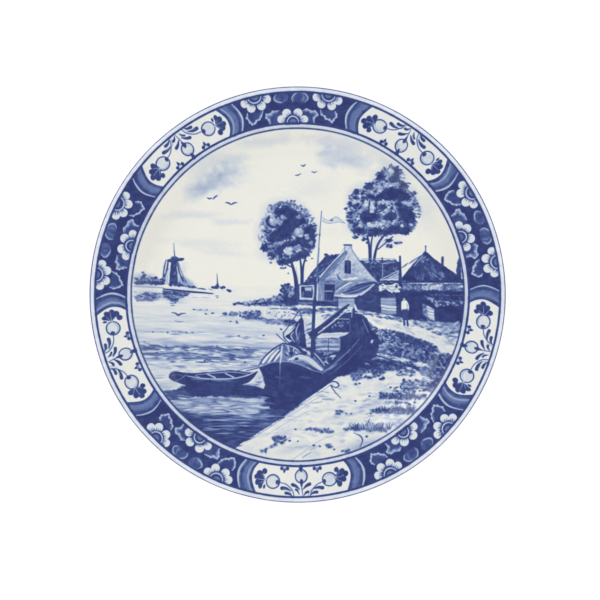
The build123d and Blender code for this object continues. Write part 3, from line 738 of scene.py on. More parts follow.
hatch(((-4, -16), (40, -17), (52, -19), (30, -22), (-4, -21)), 20, (0.06, 0.2), 6.0, 1.4, -3, 8)
area(((100.6, -7), (102.6, -5.4), (105.6, -6), (107.6, -10), (107.2, -16), (101.6, -16.4), (100.4, -12)),
    0.03, rough=0.2, curve=True)
dab(103.2, -4.2, 2.6, 2.8, 0, 0.35)
stroke(((101.4, -2.6), (105, -2.9)), 1.2, 0.92)
stroke(((106, -9), (106.2, -14.6)), 0.7, 0.5)
area(((101.2, -14.4), (107, -14), (107, -24), (104.4, -25), (101.4, -24.4)), 0.86, rough=0.2)
stroke(((103.2, -23), (103.4, -29.4)), 1.9, 0.9)
stroke(((106, -23), (106.8, -30)), 1.7, 0.93)

# The quay in front: pale stones with washes of shade, a few joints, and weeds.
area(((-62, -150), (-50, -140), (-44, -137.6), (-28, -127.6), (-12, -117.2), (-2, -109.4), (18.5, -94.8),
    (31.7, -84.6), (43, -78), (60, -75.6), (90, -70), (110, -64), (135, -62), (150, -62), (162, -64),
    (162, -160), (-62, -162)), 0.05, rough=0.7, soft=0.8, grain=0.05)
quay = ((-44, -140), (-2, -111), (32, -86), (60, -77), (110, -78), (122, -98), (90, -130), (40, -152),
    (0, -160), (-30, -154))
hatch(quay, 170, (0.1, 0.16, 0.24), 9.0, 2.4, 4, 10, 0.6)
hatch(quay, 60, (0.0, 0.03), 10.0, 3.0, 8, 14, 0.7)
hatch(((66, -88), (110, -82), (120, -94), (108, -124), (70, -136), (60, -110)),
    90, (0.15, 0.28, 0.4), 5.0, 1.5, 4, 16, 0.7)
for x, z, w, h, t in (
    (40, -118, 20, 4, 0.1),
    (74, -106, 16, 4, 0.14),
    (0, -148, 22, 4, 0.1),
    (66, -146, 22, 7, 0.24),
    (104, -124, 16, 6, 0.14),
    (-8, -132, 16, 4, 0.1),
):
    wash(x, z, w, h, t, 14)
hatch(((18, -97), (34, -86), (50, -88), (44, -98), (26, -106)), 16, (0.2, 0.35, 0.5), 5.4, 0.8, -3, 8)
hatch(((-20, -124), (16, -98), (30, -106), (10, -124)), 16, (0.15, 0.25, 0.35), 5.4, 0.8, 0, 10)
hatch(((-40, -142), (-24, -129), (10, -128), (0, -150)), 14, (0.12, 0.22, 0.3), 6.0, 0.9, 6, 14)
lines((
    ((0.6, 1.0, 0.8, 1.0), 0.3, ((-44, -139.4), (-24, -126.4), (-2, -111), (18, -97), (34, -86.4))),
    (0.8, 0.5, ((18.6, -94.6), (24, -94), (30, -95))),
    (0.9, 0.45, ((24, -101), (28, -101.6), (32, -100.8))),
    (0.8, 0.35, ((12, -105), (19, -104.4), (24, -103.4))),
    (0.7, 0.3, ((-10, -119), (4, -110), (14, -103), (26, -97.6))),
    (0.7, 0.25, ((-30, -136), (-14, -126), (4, -116), (20, -109))),
    (0.7, 0.25, ((-6, -160), (6, -152), (22, -141), (44, -133))),
    ((0.7, 1.2, 0.7), 0.4, ((4.6, -157.4), (8, -155), (13, -152.6))),
))
tufts(((37, 43.4, -113.6), (38, 42, -115.2), (28, 33, -145.6), (30, 33.6, -147.2), (-24, -12, -140),
    (-22, -15, -138), (-22, -13, -142.6), (80, 84.6, -81.4)), 2.1, 0.9)
tufts(((8.4, 20, -130), (16, 30, -131.4), (22, 36, -133), (52, 76, -79.6), (54, 62, -82),
    (55.6, 58.4, -87), (43, 53, -151), (72, 82, -78)), 1.7, 0.88)
tufts(((-35, -32, -151), (-32, -29, -149.6), (-27, -24, -147), (-24, -20, -145)), 2.0, 0.82)
scatter(((47, -115), (52, -115.4), (71, -115.2), (69.6, -98.4), (-2, -130.5), (45, -130), (66.7, -137),
    (-7.7, -141.5), (0.3, -142), (15.6, -145.8), (21.5, -146.6), (35.3, -149.5), (60, -86), (53, -78.5),
    (66, -79), (70, -80.8), (86, -99), (56, -103)), 1.7, 0.92)
lines((
    ((1.4, 0.5), 0.85, ((66.6, -128), (68, -124), (69.8, -120.4))),
    ((0.6, 1.3, 1.2, 0.6), 0.85, ((54.6, -134), (60.6, -136.6), (62.6, -141), (60, -147))),
    ((0.6, 1.0, 0.5), 0.5, ((84, -138), (96, -132), (108, -124))),
))

# The grass bank behind the quay, and the weeds that grow out over the stones.
bank = ((64, -24.6), (76, -31.6), (101, -36.7), (121, -43), (133, -49.5), (139, -55.6), (152, -57.6),
    (147, -70), (139, -84), (129, -95), (119, -92), (122, -80), (112, -70), (96, -71), (84, -72.4),
    (66, -75.4), (44, -78), (40, -70), (62, -56))
area(bank, 0.6, rough=1.8, soft=1.0, grain=0.2)
hatch(bank, 420, (0.96, 0.96, 0.9, 0.7), 4.0, 2.3, -14, 40)
hatch(bank, 150, (0.16, 0.3, 0.45), 3.2, 1.2, -10, 30)
hatch(((64, -25), (76, -32), (101, -37), (121, -43.6), (134, -51), (130, -56), (100, -46), (70, -40)),
    130, (0.93, 0.93, 0.8), 3.0, 1.9, -18, 40)
hatch(((64, -26), (76, -32), (96, -37), (92, -46), (70, -42)), 46, (0.14, 0.3, 0.45), 2.8, 1.2, 30, 40)
hatch(((76, -47), (96, -46), (112, -54), (100, -60), (80, -56)), 50, (0.2, 0.35, 0.5), 4.2, 1.5, -4, 14)
hatch(((84, -50), (104, -52), (112, -58), (96, -60)), 26, (0.93, 0.86), 4.4, 2.0, 10, 24)
hatch(((68, -55), (80, -57), (110, -62.4), (112, -66), (95, -65), (75, -61)),
    46, (0.08, 0.2, 0.35), 5.2, 1.3, -10, 8)
hatch(((66, -62), (84, -64), (98, -67), (98, -70.6), (84, -71.6), (66, -74)),
    56, (0.95, 0.86, 0.95), 4.2, 1.8, -4, 18)
hatch(((114, -64), (124, -66), (127, -70), (114, -71)), 18, (0.06, 0.2), 4.4, 1.3, -6, 14)
hatch(((119, -77), (127, -78), (127, -85), (121, -86)), 18, (0.08, 0.2, 0.4), 3.8, 1.3, -20, 20)
hatch(((126, -58), (150, -60), (143, -78), (132, -90), (127, -82), (130, -68)),
    90, (0.95, 0.88), 3.8, 2.2, -30, 40)
hatch(((126, -58), (150, -60), (143, -78), (132, -90), (127, -82), (130, -68)),
    30, (0.2, 0.4), 3.2, 1.1, -40, 30)
area(((44, -78.6), (40, -74), (62, -56), (68, -58), (70, -66), (66, -75)),
    0.95, rough=1.6, soft=1.0, grain=0.05)
hatch(((56, -64), (66, -58), (70, -66), (64, -74), (50, -77)), 18, (0.5, 0.65), 3.4, 1.1, -10, 20)
tufts(((44, 64, -77.4), (60, 84, -75), (84, 98, -72)), 2.2, 0.88)
for low_x, high_x, low_z, high_z, count in (
    (96, 114, -79, -70.6, 60),
    (100, 124, -91, -82, 90),
    (80, 124, -102, -94.6, 130),
    (92, 118, -95, -88, 30),
    (71, 118, -115, -110.6, 120),
    (83, 108, -106, -103, 16),
):
    box = ((low_x, low_z), (high_x, low_z), (high_x, high_z), (low_x, high_z))
    hatch(box, count // 2, (0.35, 0.5, 0.65), 4.6, 1.5, 0, 14)
    hatch(box, int(count * 0.7), (0.95, 0.88, 0.76), 3.4, 1.6, 4, 24)
    hatch(box, count // 4, (0.1, 0.2), 3.6, 1.0, 0, 16)
scatter(((103, -82), (109, -84), (115, -83), (121, -87), (125, -88), (112, -90), (118, -93), (80, -82),
    (83.4, -81), (108, -106), (113, -104), (90, -90)), 2.0, 0.96)
tufts(((80, 118, -99), (72, 116, -113.6), (76, 112, -112), (47, 88, -130.6), (52, 84, -129.4)), 2.2, 0.92)
reeds(80, 116, -99, -97, 40, 0.85, 2.6, 20)
reeds(76, 112, -112.6, -111, 60, 0.88, 3.2, 18)
reeds(50, 90, -130.6, -129, 90, 0.82, 4.2, 18)
reeds(50, 86, -129, -128, 24, 0.45, 4.0, 18)
reeds(72, 112, -76, -68, 60, 0.88, 2.6, 24)
reeds(-24, -10, -141, -138, 20, 0.88, 2.4, 18)

# The barge's shadow and the rowing boat's, on the water.
gloom = ((-122, -112), (-100, -115), (-80, -113), (-60, -118), (-40, -122), (-24, -118), (-48, -140),
    (-62, -148), (-84, -140), (-106, -126))
hatch(gloom, 120, (0.93, 0.86, 0.7), 14.0, 1.5, -2, 4)
hatch(((-106, -114), (-76, -116), (-70, -124), (-74, -140), (-92, -136), (-108, -124)),
    70, (0.93, 0.93, 0.84), 14.0, 1.7, -2, 3)
area(((-130, -94), (-118, -91.4), (-108, -87.4), (-100, -86), (-60, -88), (-44, -87), (-30, -88),
    (-6, -104), (4, -106), (-2, -110), (-14, -118), (-26, -110), (-34, -101), (-60, -98.6), (-100, -99),
    (-122, -96.4)), 0.95, rough=1.4, soft=1.4, grain=0.06, field=trickles)
hatch(((-128, -92), (-104, -94), (-100, -100), (-124, -102)), 26, (0.86, 0.7), 9.0, 1.3, -2, 4)
hatch(((-106, -98), (-30, -98), (-26, -106), (-100, -108)), 44, (0.45, 0.6, 0.78), 10.0, 1.3, -2, 4)
hatch(((-116, -101), (-40, -100), (-30, -112), (-56, -118), (-110, -112)),
    52, (0.14, 0.25, 0.4), 11.0, 1.3, -2, 4)
hatch(((-72, -104), (-40, -100), (-30, -112), (-46, -120), (-66, -116)),
    26, (0.1, 0.2, 0.35), 9.0, 1.4, -2, 5)
hatch(((-34, -102), (-22, -108), (-10, -116), (-22, -124), (-36, -114)),
    30, (0.9, 0.8, 0.65), 9.0, 1.5, 2, 5)
hatch(((-104, -112), (-48, -118), (-50, -132), (-90, -130)), 24, (0.35, 0.5, 0.62), 12.0, 0.9, -2, 3)
dashes(((-105, -78, -116.4), (-84, -50, -120.8), (-86, -54, -127.2), (-95, -74, -130.4), (-80, -62, -134),
    (-58, -50, -133)), 0.35, 0.9)

# The barge: its far bulwark, deck, hatch and cabin, then the hull over them.
area(((-18, -50), (-2, -44), (10, -36), (20, -33), (42, -34), (62, -40), (74, -40), (78, -50), (60, -66),
    (30, -82), (10, -70), (-14, -64)), 0.93, rough=0.4, grain=0.06)
area(((26, -25), (30, -21.4), (34, -20), (48, -17), (62, -18.6), (67, -23), (74, -40), (72, -46),
    (60, -52), (40, -48), (26, -36)), 0.95, rough=0.5, grain=0.04)
area(((17, -19), (52, -13.6), (52, -16.6), (34, -21), (28, -25), (19, -34), (17, -34)), 0.08, rough=0.6)
hatch(((20, -20), (50, -14.6), (50, -17), (30, -21), (19, -28)), 16, (0.3, 0.6, 0.85), 4.4, 1.1, 12, 10)
hatch(((31, -27), (50, -25), (50, -33), (31, -34)), 12, (0.35, 0.5), 2.0, 1.6, 0, 40)
hatch(((52, -22), (64, -24), (70, -40), (56, -40)), 12, (0.8, 0.86), 6.0, 1.8, -70, 14)
area(((6.2, -22), (13.6, -26), (14, -51), (8.6, -52)), 0.16, rough=0.6)
hatch(((7, -26), (13.6, -28), (14, -50), (9, -51)), 22, (0.25, 0.5, 0.85), 4.2, 1.2, 8, 16)
area(((19, -40.6), (23, -37.4), (51, -36.4), (45, -40), (41.4, -42.2), (17.4, -42)), 0.12, rough=0.5)
stroke(((24, -39.6), (34, -39), (44, -39)), 0.7, 0.3)
area(((17.4, -42.6), (40.6, -42.8), (40, -54), (30, -58), (18, -53)), 0.5, rough=0.4, grain=0.12)
for z, tone in ((-44.4, 0.3), (-46.6, 0.62), (-48.8, 0.2), (-51, 0.66), (-53.2, 0.16), (-55.4, 0.7)):
    stroke(((17.6, z), (28, z + 0.7), (40, z + 0.2)), (1.0, 1.5, 1.2), tone)
hatch(((18, -43), (40, -43), (40, -50), (18, -50)), 22, (0.2, 0.4, 0.7), 4.6, 0.9, 2, 8)
hatch(((19, -53), (34, -56), (38, -62), (28, -68), (20, -60)),
    30, (0.06, 0.2, 0.55, 0.93, 0.93), 4.0, 1.3, -20, 40)
area(((40.6, -41), (55, -37.6), (62, -44), (52, -52), (40.6, -54)), 0.95, rough=0.4, grain=0.04)
lines((
    (0.7, 0.9, ((30, -43), (29.6, -56))),
    (0.9, 0.35, ((27, -24.4), (36, -23.4), (50, -23.8))),
    (0.9, 0.7, ((50.6, -24), (51, -36))),
    (0.8, 0.5, ((63, -24), (70, -40))),
    (0.8, 0.35, ((41, -42.4), (40.8, -53))),
))
area(((4, -21.4), (5.6, -25), (6.8, -38), (8.2, -52), (1, -52), (-4, -45.4), (-12.4, -41), (-8, -35.6),
    (-1, -27.4)), 0.95, rough=0.5, grain=0.05)
hatch(((2, -28), (4, -46), (0, -48), (-6, -40), (-2, -32)), 9, (0.6, 0.75), 5.0, 1.0, 76, 10)
lines((
    (0.9, 0.88, ((3, -13), (-5, -25), (-13.4, -37))),
    (0.9, 0.85, ((-20.6, -38), (-16, -42.4), (-11, -46.6))),
    ((0.7, 1.6, 0.9), 0.1, ((-2.4, -31), (-8, -36.6), (-12.8, -39.6))),
    ((0.6, 1.4, 0.6), 0.3, ((1.4, -28), (-1.4, -35), (0, -43))),
    ((0.6, 1.2, 0.6), 0.2, ((-4, -36), (-6.4, -40), (-3, -46))),
    ((0.8, 1.5, 0.8), 0.8, ((-14, -36), (-13, -42), (-8, -47))),
    ((0.8, 1.4), 0.75, ((2, -14), (3.6, -21.4))),
))
dab(-16, -33.6, 2.6, 1.6, -40, 0.85)
area(((-37, -68), (-30, -62), (-17, -50), (-10, -46.6), (2, -50), (12, -54), (22, -66), (28, -76),
    (12, -70), (0, -67), (-17, -66), (-28, -67)), 0.66, rough=0.5, grain=0.2)
hatch(((-12, -48), (0, -51), (8, -54), (2, -64), (-12, -64)), 34, (0.1, 0.35, 0.9, 0.9), 4.4, 1.4, -55, 24)
lines((
    ((1.6, 3.0, 1.6), 0.05, ((-33.6, -66.4), (-29.4, -60), (-23.6, -54.6))),
    ((1.4, 2.8, 1.4), 0.06, ((-28.4, -65.8), (-24, -59.6), (-18.6, -53.6))),
    ((1.2, 2.2, 1.0), 0.08, ((-23.2, -65.4), (-19.4, -60), (-15.6, -55))),
    ((0.7, 1.0, 0.7), 0.6, ((-31, -66), (-27, -60), (-21, -54))),
    ((0.7, 1.2, 0.7), 0.85, ((-26, -66), (-22, -60), (-17, -54.6))),
    ((0.9, 1.5, 1.1), 0.95, ((-37.6, -68.4), (-32, -60.4), (-22, -51.6), (-14, -47))),
    ((2.0, 4.6, 5.6, 2.8), 0.16, ((-8, -62.8), (2, -60.4), (12, -64.4), (23, -72.6))),
    ((0.6, 1.4, 0.6), 0.35, ((-4, -64.6), (6, -63.6), (16, -70))),
    ((1.0, 1.8, 1.0), 0.3, ((-12, -48.6), (-4, -50.6), (2, -56))),
    ((1.0, 2.4, 1.4), 0.15, ((2, -52.6), (8, -54.4), (15, -60))),
    ((1.2, 2.0, 1.2), 0.95, ((-13, -47.4), (-4, -49.4), (4, -54), (8, -58.6))),
    ((0.9, 1.4, 0.9), 0.93, ((12, -55), (19, -61.6), (25, -70.6))),
    ((0.9, 1.4, 0.9), 0.25, ((14, -55), (20, -60.6), (26, -68.6))),
))
scatter(((6.4, -56.6), (-1, -62.2), (10.6, -52.6), (-6, -57)), 3.4, 0.95)
area(((-37.5, -70.6), (-26, -66.6), (-17, -65.4), (-6, -66), (4, -69), (14, -73.6), (26, -76.4),
    (36, -69), (48, -58), (58, -47), (66, -38), (74, -35), (80, -45), (75, -58), (60, -71), (46, -78),
    (38, -80), (28, -88), (10, -100), (0, -107), (-14, -108), (-26, -104), (-30, -92), (-34, -81)),
    0.97, rough=0.4, grain=0.03)
hatch(((-30, -74), (-16, -70), (20, -80), (26, -84), (0, -102), (-24, -98)),
    20, (0.9, 0.94), 8.0, 2.0, -14, 12)
lines((
    ((0.7, 1.2, 1.0, 0.7), 0.55, ((24, -76.6), (38, -64.6), (50, -54), (60, -43))),
    ((0.6, 1.0, 0.6), 0.7, ((30, -78), (46, -66), (62, -50))),
    ((1.2, 2.2, 1.0), 0.5, ((27, -73.4), (33, -70.6), (38, -67))),
    ((0.8, 1.1, 0.8), 0.45, ((-37, -69.8), (-26, -65.8), (-17, -64.6), (-6, -65.4), (4, -68.4), (14, -73),
        (24, -75.6))),
    ((1.5, 1.7, 1.4), 0.16, ((-15, -50), (-15.8, -58), (-17, -67))),
    ((1.2, 1.0, 0.7), 0.5, ((-17, -67), (-17.2, -77))),
    (0.7, 0.74, ((-17.2, -77), (-17.4, -87))),
))
area(((66, -42), (72, -40), (79, -50), (76, -60), (66, -66), (58, -64)), 0.96, rough=1.0, grain=0.04)
dab(72, -45.4, 2.2, 4.6, -20, 0.2)

# The mast and boom stand in front of all that; the pennant flies from the mast's head.
stroke(((23.2, 81), (21.5, 60), (20, 40), (18, 10)), (0.8, 0.9, 1.1, 1.6), 0.68)
stroke(((18, 12), (17, -2), (16, -12), (14, -60)), (1.6, 2.6, 3.0, 3.4), 0.93)
stroke(((19.2, 16), (18.2, -4)), (0.5, 0.8), 0.3)
stroke(((20.6, 45), (19.6, 30)), 1.6, 0.5)
dab(21.4, 58, 2.6, 1.7, 80, 0.8)
area(((24, 75), (29, 71.5), (33, 73), (38, 75.4), (46, 69), (41, 70.5), (36, 69.5), (30, 68.8), (24, 71)),
    0.16, curve=True, strength=0.7)
lines((
    (0.55, 0.45, ((24, 75), (29, 71.8), (33, 73.4), (38, 75.2), (46, 69))),
    (0.55, 0.5, ((24, 71), (30, 69), (36, 69.8), (41, 70.4), (46, 69))),
    ((1.6, 3.4, 3.4, 4.4, 5.0), 0.95, ((49.6, -9.6), (40, -17.4), (30, -25.4), (20, -33.6), (13, -38.4))),
    ((0.6, 1.3, 1.0), 0.08, ((50, -13), (34, -26.4), (20, -37.2))),
    ((0.5, 0.9, 0.5), 0.5, ((44, -12), (32, -21.4), (24, -28))),
    ((1.4, 1.3, 1.1), 0.93, ((50, -51.6), (80, -60), (113, -70.6))),
    ((1.2, 2.8, 1.2), 0.93, ((108, -68.8), (114, -70.6), (118, -73))),
    (2.0, 0.93, ((54.4, -13.6), (54, -22.4))),
    (0.8, 0.3, ((52.8, -14), (52.4, -22))),
))
dab(33, 72, 3.0, 1.7, 20, 0.7)
dab(13.6, -37, 5, 4, 30, 0.96)
dab(14.4, -42.4, 3.4, 3.4, 0, 0.93)

# The rowing boat, made fast to the barge.
area(((-124.6, -78), (-122, -75), (-116, -74.6), (-110, -75.6), (-98, -76), (-75, -74), (-62, -73.2),
    (-45, -75.6), (-39, -74), (-40, -77), (-44, -82), (-50, -86), (-65, -89), (-85, -89.4), (-105, -88.4),
    (-118, -84.4), (-124, -81)), 0.97, rough=0.25, grain=0.05, curve=True)
area(((-106, -80), (-92, -80.6), (-66, -81.6), (-52, -82.6), (-44, -80), (-48, -84.6), (-64, -87.4),
    (-88, -87.4), (-104, -84.6)), 0.93, rough=0.3, grain=0.06)
hatch(((-104, -81), (-66, -82.4), (-50, -83), (-62, -84.6), (-100, -83.6)),
    12, (0.6, 0.75), 8.0, 0.9, -1, 4)
lines((
    ((0.8, 1.3, 1.4, 0.9), 0.25, ((-107, -78.8), (-90, -81.4), (-65, -81.4), (-50, -78.6), (-41, -74.6))),
    ((0.6, 1.0, 0.6), 0.3, ((-98, -77.6), (-76, -75.6), (-62, -75), (-48, -77))),
    ((1.2, 1.5), 0.22, ((-88, -76.8), (-80, -80.4))),
    ((1.2, 1.5), 0.22, ((-70, -76.4), (-62, -80))),
    (0.9, 0.4, ((-99, -78.4), (-94, -80.6))),
    (0.8, 0.65, ((-122, -78.6), (-116, -77.4), (-110, -79.6))),
    (0.8, 0.55, ((-119, -84), (-112, -80.6), (-108, -77.6))),
    (0.9, 0.85, ((-50, -73.8), (-44, -72.6), (-36, -70.4))),
    (0.6, 0.75, ((-60, -74), (-50, -71.6), (-38, -69.6))),
))
area(((-38, -74), (-36, -73), (-33.6, -80), (-31.4, -88), (-33, -90.6), (-46, -87.6), (-42.6, -82)),
    0.14, rough=1.1, soft=1.4)
hatch(((-37.6, -76), (-34, -80), (-32, -90), (-46, -87.4)), 12, (0.25, 0.4, 0.6), 4.0, 1.1, -2, 6)
dashes(((-42, -33, -84), (-40, -32, -80), (-46, -34, -88)), 0.35, 0.8)

# The mooring loop on the quay, and its line.
lines((
    ((0.8, 1.4, 1.2, 0.8), 0.9, ((30, -86), (34, -84.2), (38, -85), (40, -88), (37, -90), (32.4, -88))),
    ((1.2, 0.6), 0.85, ((32, -88), (36, -94), (42, -100.6))),
))

# ---- The border: five white cartouches and five floral grounds, between blue lines ----

RADIUS = np.hypot(PLACE[None, :], PLACE[:, None]).astype(np.float32)  # of each cell, in millimetres
REPEATS = 5  # how often the border's two motifs come round
INNER = 164.4  # the radius where the cartouches start, in millimetres
OUTER = 195.4  # the radius where they end
DEGREE = 3.14  # how long one degree is at the middle of the border, in millimetres
everywhere = (slice(0, SIDE), slice(0, SIDE))


def beyond(radius):
    """1 outside a radius and 0 inside it, with a brush's soft edge between."""
    return np.clip(0.5 + (RADIUS - radius) / SOFT, 0, 1)


def hoop(radius, width, tone):
    """A line round the plate, as thick as a full brush leaves it."""
    away = np.abs(RADIUS + 0.18 * drift - radius) - width / 2 * (1 + 0.12 * mottle)
    lay(everywhere, np.clip(0.5 - away / SOFT, 0, 1), tone)


def drawn_in(run, outline, share):
    """The points of a run, moved that share of the way to the middle of an outline."""
    middle_a, middle_r = (sum(p[k] for p in outline) / len(outline) for k in (0, 1))
    return [((1 - share) * a + share * middle_a, (1 - share) * r + share * middle_r) for a, r in run]


class Motif:
    """One repeat of a border motif: the brushes, with their places as (degrees clockwise, radius)."""

    def __init__(self, centre):
        self.centre = centre

    def at(self, points, slip=0.22):
        """The points on the canvas, moved together a little, as no two repeats by hand are the same."""
        side, out = chance.normal(0, slip / DEGREE), chance.normal(0, slip)
        turned = [(math.radians(self.centre + (a + side)), r + out) for a, r in points]
        return [(r * math.sin(t), r * math.cos(t)) for t, r in turned]

    def line(self, width, tone, points, soft=SOFT):
        """One pull of the brush."""
        stroke(self.at(points), width, tone, soft=soft)

    def fill(self, tone, points, rough=0.2, grain=0.05, curve=True, slip=0.22):
        """A filled outline."""
        area(self.at(points, slip), tone, rough=rough, grain=grain, curve=curve)

    def touch(self, a, r, out, across, tone, lean=0.0, soft=SOFT):
        """An oval `out` long along the radius and `across` wide, leaning clockwise by some degrees."""
        (x, z), = self.at(((a, r),))
        dab(x, z, out, across, 90 - self.centre - a - lean, tone * chance.uniform(0.97, 1.02), soft=soft)

    def petal(self, a, r, out, across, heart, lean=0.0):
        """A white petal, shaded blue towards the flower's heart, with a few fine lines."""
        self.touch(a, r, out * 0.96, across * 0.96, 0.09, lean)
        ha, hr = heart
        near = max(out, across) * 0.5
        far = math.hypot((ha - a) * DEGREE, hr - r)
        ua, ur = (ha - a) / far, (hr - r) / far
        for k in (-1, 0, 1):
            da, dr = k * across * 0.2 * ur / DEGREE, -k * across * 0.2 * ua * DEGREE
            start = (a + ua * near * 0.1 + da, r + ur * near * 0.1 + dr)
            end = (a + ua * near + da * 0.7, r + ur * near + dr * 0.7)
            self.line((0.3, 0.7, 0.9), 0.55, (start, end))


lay(everywhere, beyond(160.6), 0.16 + 0.05 * drift)
lay(everywhere, beyond(164.2), 0.97 + 0.03 * mottle)
scene = canvas.copy()


def floral(centre):
    """A dark ground with two half flowers at its outer edge and one at its inner edge, and leaves."""
    m = Motif(centre)
    # Two round buds at the outer edge.
    for outline, vein in (
        (
            ((-6.9, 190), (-6, 185.4), (-4.6, 184.6), (-3.2, 187), (-2.8, 191), (-3.8, 194.4), (-6, 194)),
            ((-4.6, 186), (-4.6, 190), (-5, 193)),
        ),
        (
            ((-1.4, 186), (-1.5, 190), (-0.6, 193.4), (0.9, 194.6), (2.4, 193), (3.1, 189),
             (2.4, 185.4), (0.8, 184.4)),
            ((0.7, 184), (0.4, 188), (0.9, 191.6)),
        ),
    ):
        m.fill(0.78, outline, grain=0.1)
        m.line((0.6, 1.6, 0.6), 0.62, [(a * 0.9 + 0.1 * vein[1][0], r) for a, r in outline[:4]])
        m.line((0.5, 1.2, 0.4), 0.92, vein)
    m.line((0.7, 1.5, 1.1, 0.5), 0.32, ((-4.8, 184.8), (-6.4, 186.6), (-6.9, 189.6), (-6.2, 193)))
    rim = ((-1.3, 185), (-1.6, 189), (-0.7, 193), (0.9, 194.2), (2.5, 192.4), (3.1, 188.4), (2.2, 185.2))
    m.line((0.5, 1.2, 1.0, 1.2, 1.4, 0.6), 0.34, rim)
    m.line((0.4, 0.9, 0.4), 0.5, ((1.4, 186), (1.7, 189), (1.4, 192)))
    # Two leaves at the inner edge, on either side of the flower there.
    for outline, rim, vein in (
        (
            ((-9.5, 164.8), (-9.4, 170), (-10, 174), (-9.2, 176.4), (-8.3, 175.8), (-7.4, 178),
             (-5.6, 178), (-5, 174), (-6, 166)),
            ((-9.2, 165.6), (-9.4, 170), (-10, 173), (-9.8, 175.6), (-8.6, 175.4), (-7.8, 177.4),
             (-5.9, 177.8)),
            ((-8.3, 166), (-8, 170.6), (-7.4, 174)),
        ),
        (
            ((1.4, 175), (2.2, 178.6), (3.6, 178.4), (4.4, 176.4), (5.7, 177), (6.4, 174), (5.4, 170),
             (5.7, 164.8), (3.4, 165), (3, 172)),
            ((1.8, 177), (2.8, 178.6), (4.3, 176.6), (5.4, 177), (6.3, 174), (5.3, 170.6), (5.5, 165.6)),
            ((4.4, 166), (4.2, 170.6), (3.4, 174)),
        ),
    ):
        m.fill(0.84, outline, grain=0.06)
        m.line((1.2, 3.2, 3.2, 1.6), 0.56, drawn_in(rim, outline, 0.2))
        m.line((0.5, 1.4, 0.4), 0.92, vein)
        m.line((0.9, 1.3, 1.3, 0.9), 0.3, rim)
        for a, r in rim[1:-1]:
            m.touch(a, r, 2.4, 2.2, 0.28)
    # Two lobed leaves, each under a flower of the outer edge.
    for leaf in (
        ((-15.7, 180.5), (-16.1, 176.5), (-15.6, 172), (-14.9, 169.2), (-13.9, 169.8), (-13.3, 171.6),
         (-12.3, 172.4), (-11.5, 175.4), (-10.9, 179.4)),
        ((7.2, 178.6), (7.6, 175), (8.6, 173.2), (9.1, 171.4), (10.3, 170.8), (11.2, 169.4),
         (11.7, 171.4), (12.4, 175), (12.2, 177.4), (11.7, 179.6)),
    ):
        m.fill(0.88, leaf, rough=0.1, slip=0.05)
        m.line((1.0, 2.0, 2.0, 1.0), 0.66, drawn_in(leaf, leaf, 0.16))
        m.line((0.9, 1.2, 1.2, 1.0, 0.9), 0.24, leaf)
        for a, r in leaf[1:-1]:
            m.touch(a, r, 2.1, 1.9, 0.24)
    # Three half flowers: a heart at the edge, four petals (angle, radius, length, width, lean), and stamens.
    for heart, petals in (
        (
            (-12.3, 195),
            ((-15.6, 190.4, 8.6, 8.0, 14), (-13.9, 184.8, 9.2, 8.8, 6), (-10.8, 184.8, 9.2, 8.8, -6),
             (-9.0, 190.4, 8.6, 8.0, -14)),
        ),
        (
            (8.7, 195),
            ((5.5, 190.6, 8.6, 8.0, 14), (7.2, 184.8, 9.2, 8.8, 6), (10.2, 184.8, 9.2, 8.8, -6),
             (11.9, 190.4, 8.6, 8.0, -14)),
        ),
        (
            (-1.6, 165),
            ((-5.3, 169.2, 8.2, 8.2, -14), (-3.4, 174.9, 8.8, 9.2, -6), (0.1, 175.0, 8.8, 9.2, 6),
             (2.2, 169.2, 8.2, 8.2, 14)),
        ),
    ):
        for a, r, out, across, lean in petals:
            m.petal(a, r, out, across, heart, lean)
        ha, hr = heart
        turn = 1 if hr < 180 else -1  # outwards from the inner edge, inwards from the outer one
        m.touch(ha, hr + turn * 0.6, 16.4, 14.6, 0.94)
        for t in np.linspace(0.12, math.pi - 0.12, 15):
            long = chance.uniform(8.9, 10.3)
            cos, sin = math.cos(t), math.sin(t)
            near, far = ((ha + d * cos / DEGREE, hr + turn * (0.6 + d * sin)) for d in (7.0, long))
            m.line((1.1, 0.9, 0.3), 0.86, (near, far), soft=0.4)
        turns = np.linspace(0.1, math.pi - 0.1, 9)
        arc = [(ha + 1.9 * math.cos(t), hr + turn * (0.4 + 6.4 * math.sin(t))) for t in turns]
        m.line((0.9, 1.3, 0.9), 0.16, arc)
        m.touch(ha, hr + turn * 1.4, 5.0, 5.6, 0.66, soft=1.2)
        turns = np.linspace(0.2, math.pi - 0.2, 7)
        arc = [(ha + 0.95 * math.cos(t), hr + turn * (0.2 + 3.2 * math.sin(t))) for t in turns]
        m.line(0.7, 0.6, arc)
    # A pale line along either side.
    for side in (-1, 1):
        edge = ((1.8, 194), (0.6, 188), (-0.2, 180), (0, 173), (1.0, 166))
        m.line((0.8, 1.2, 0.8), 0.22, [(-1.1 + side * (16.6 + b), r) for b, r in edge])


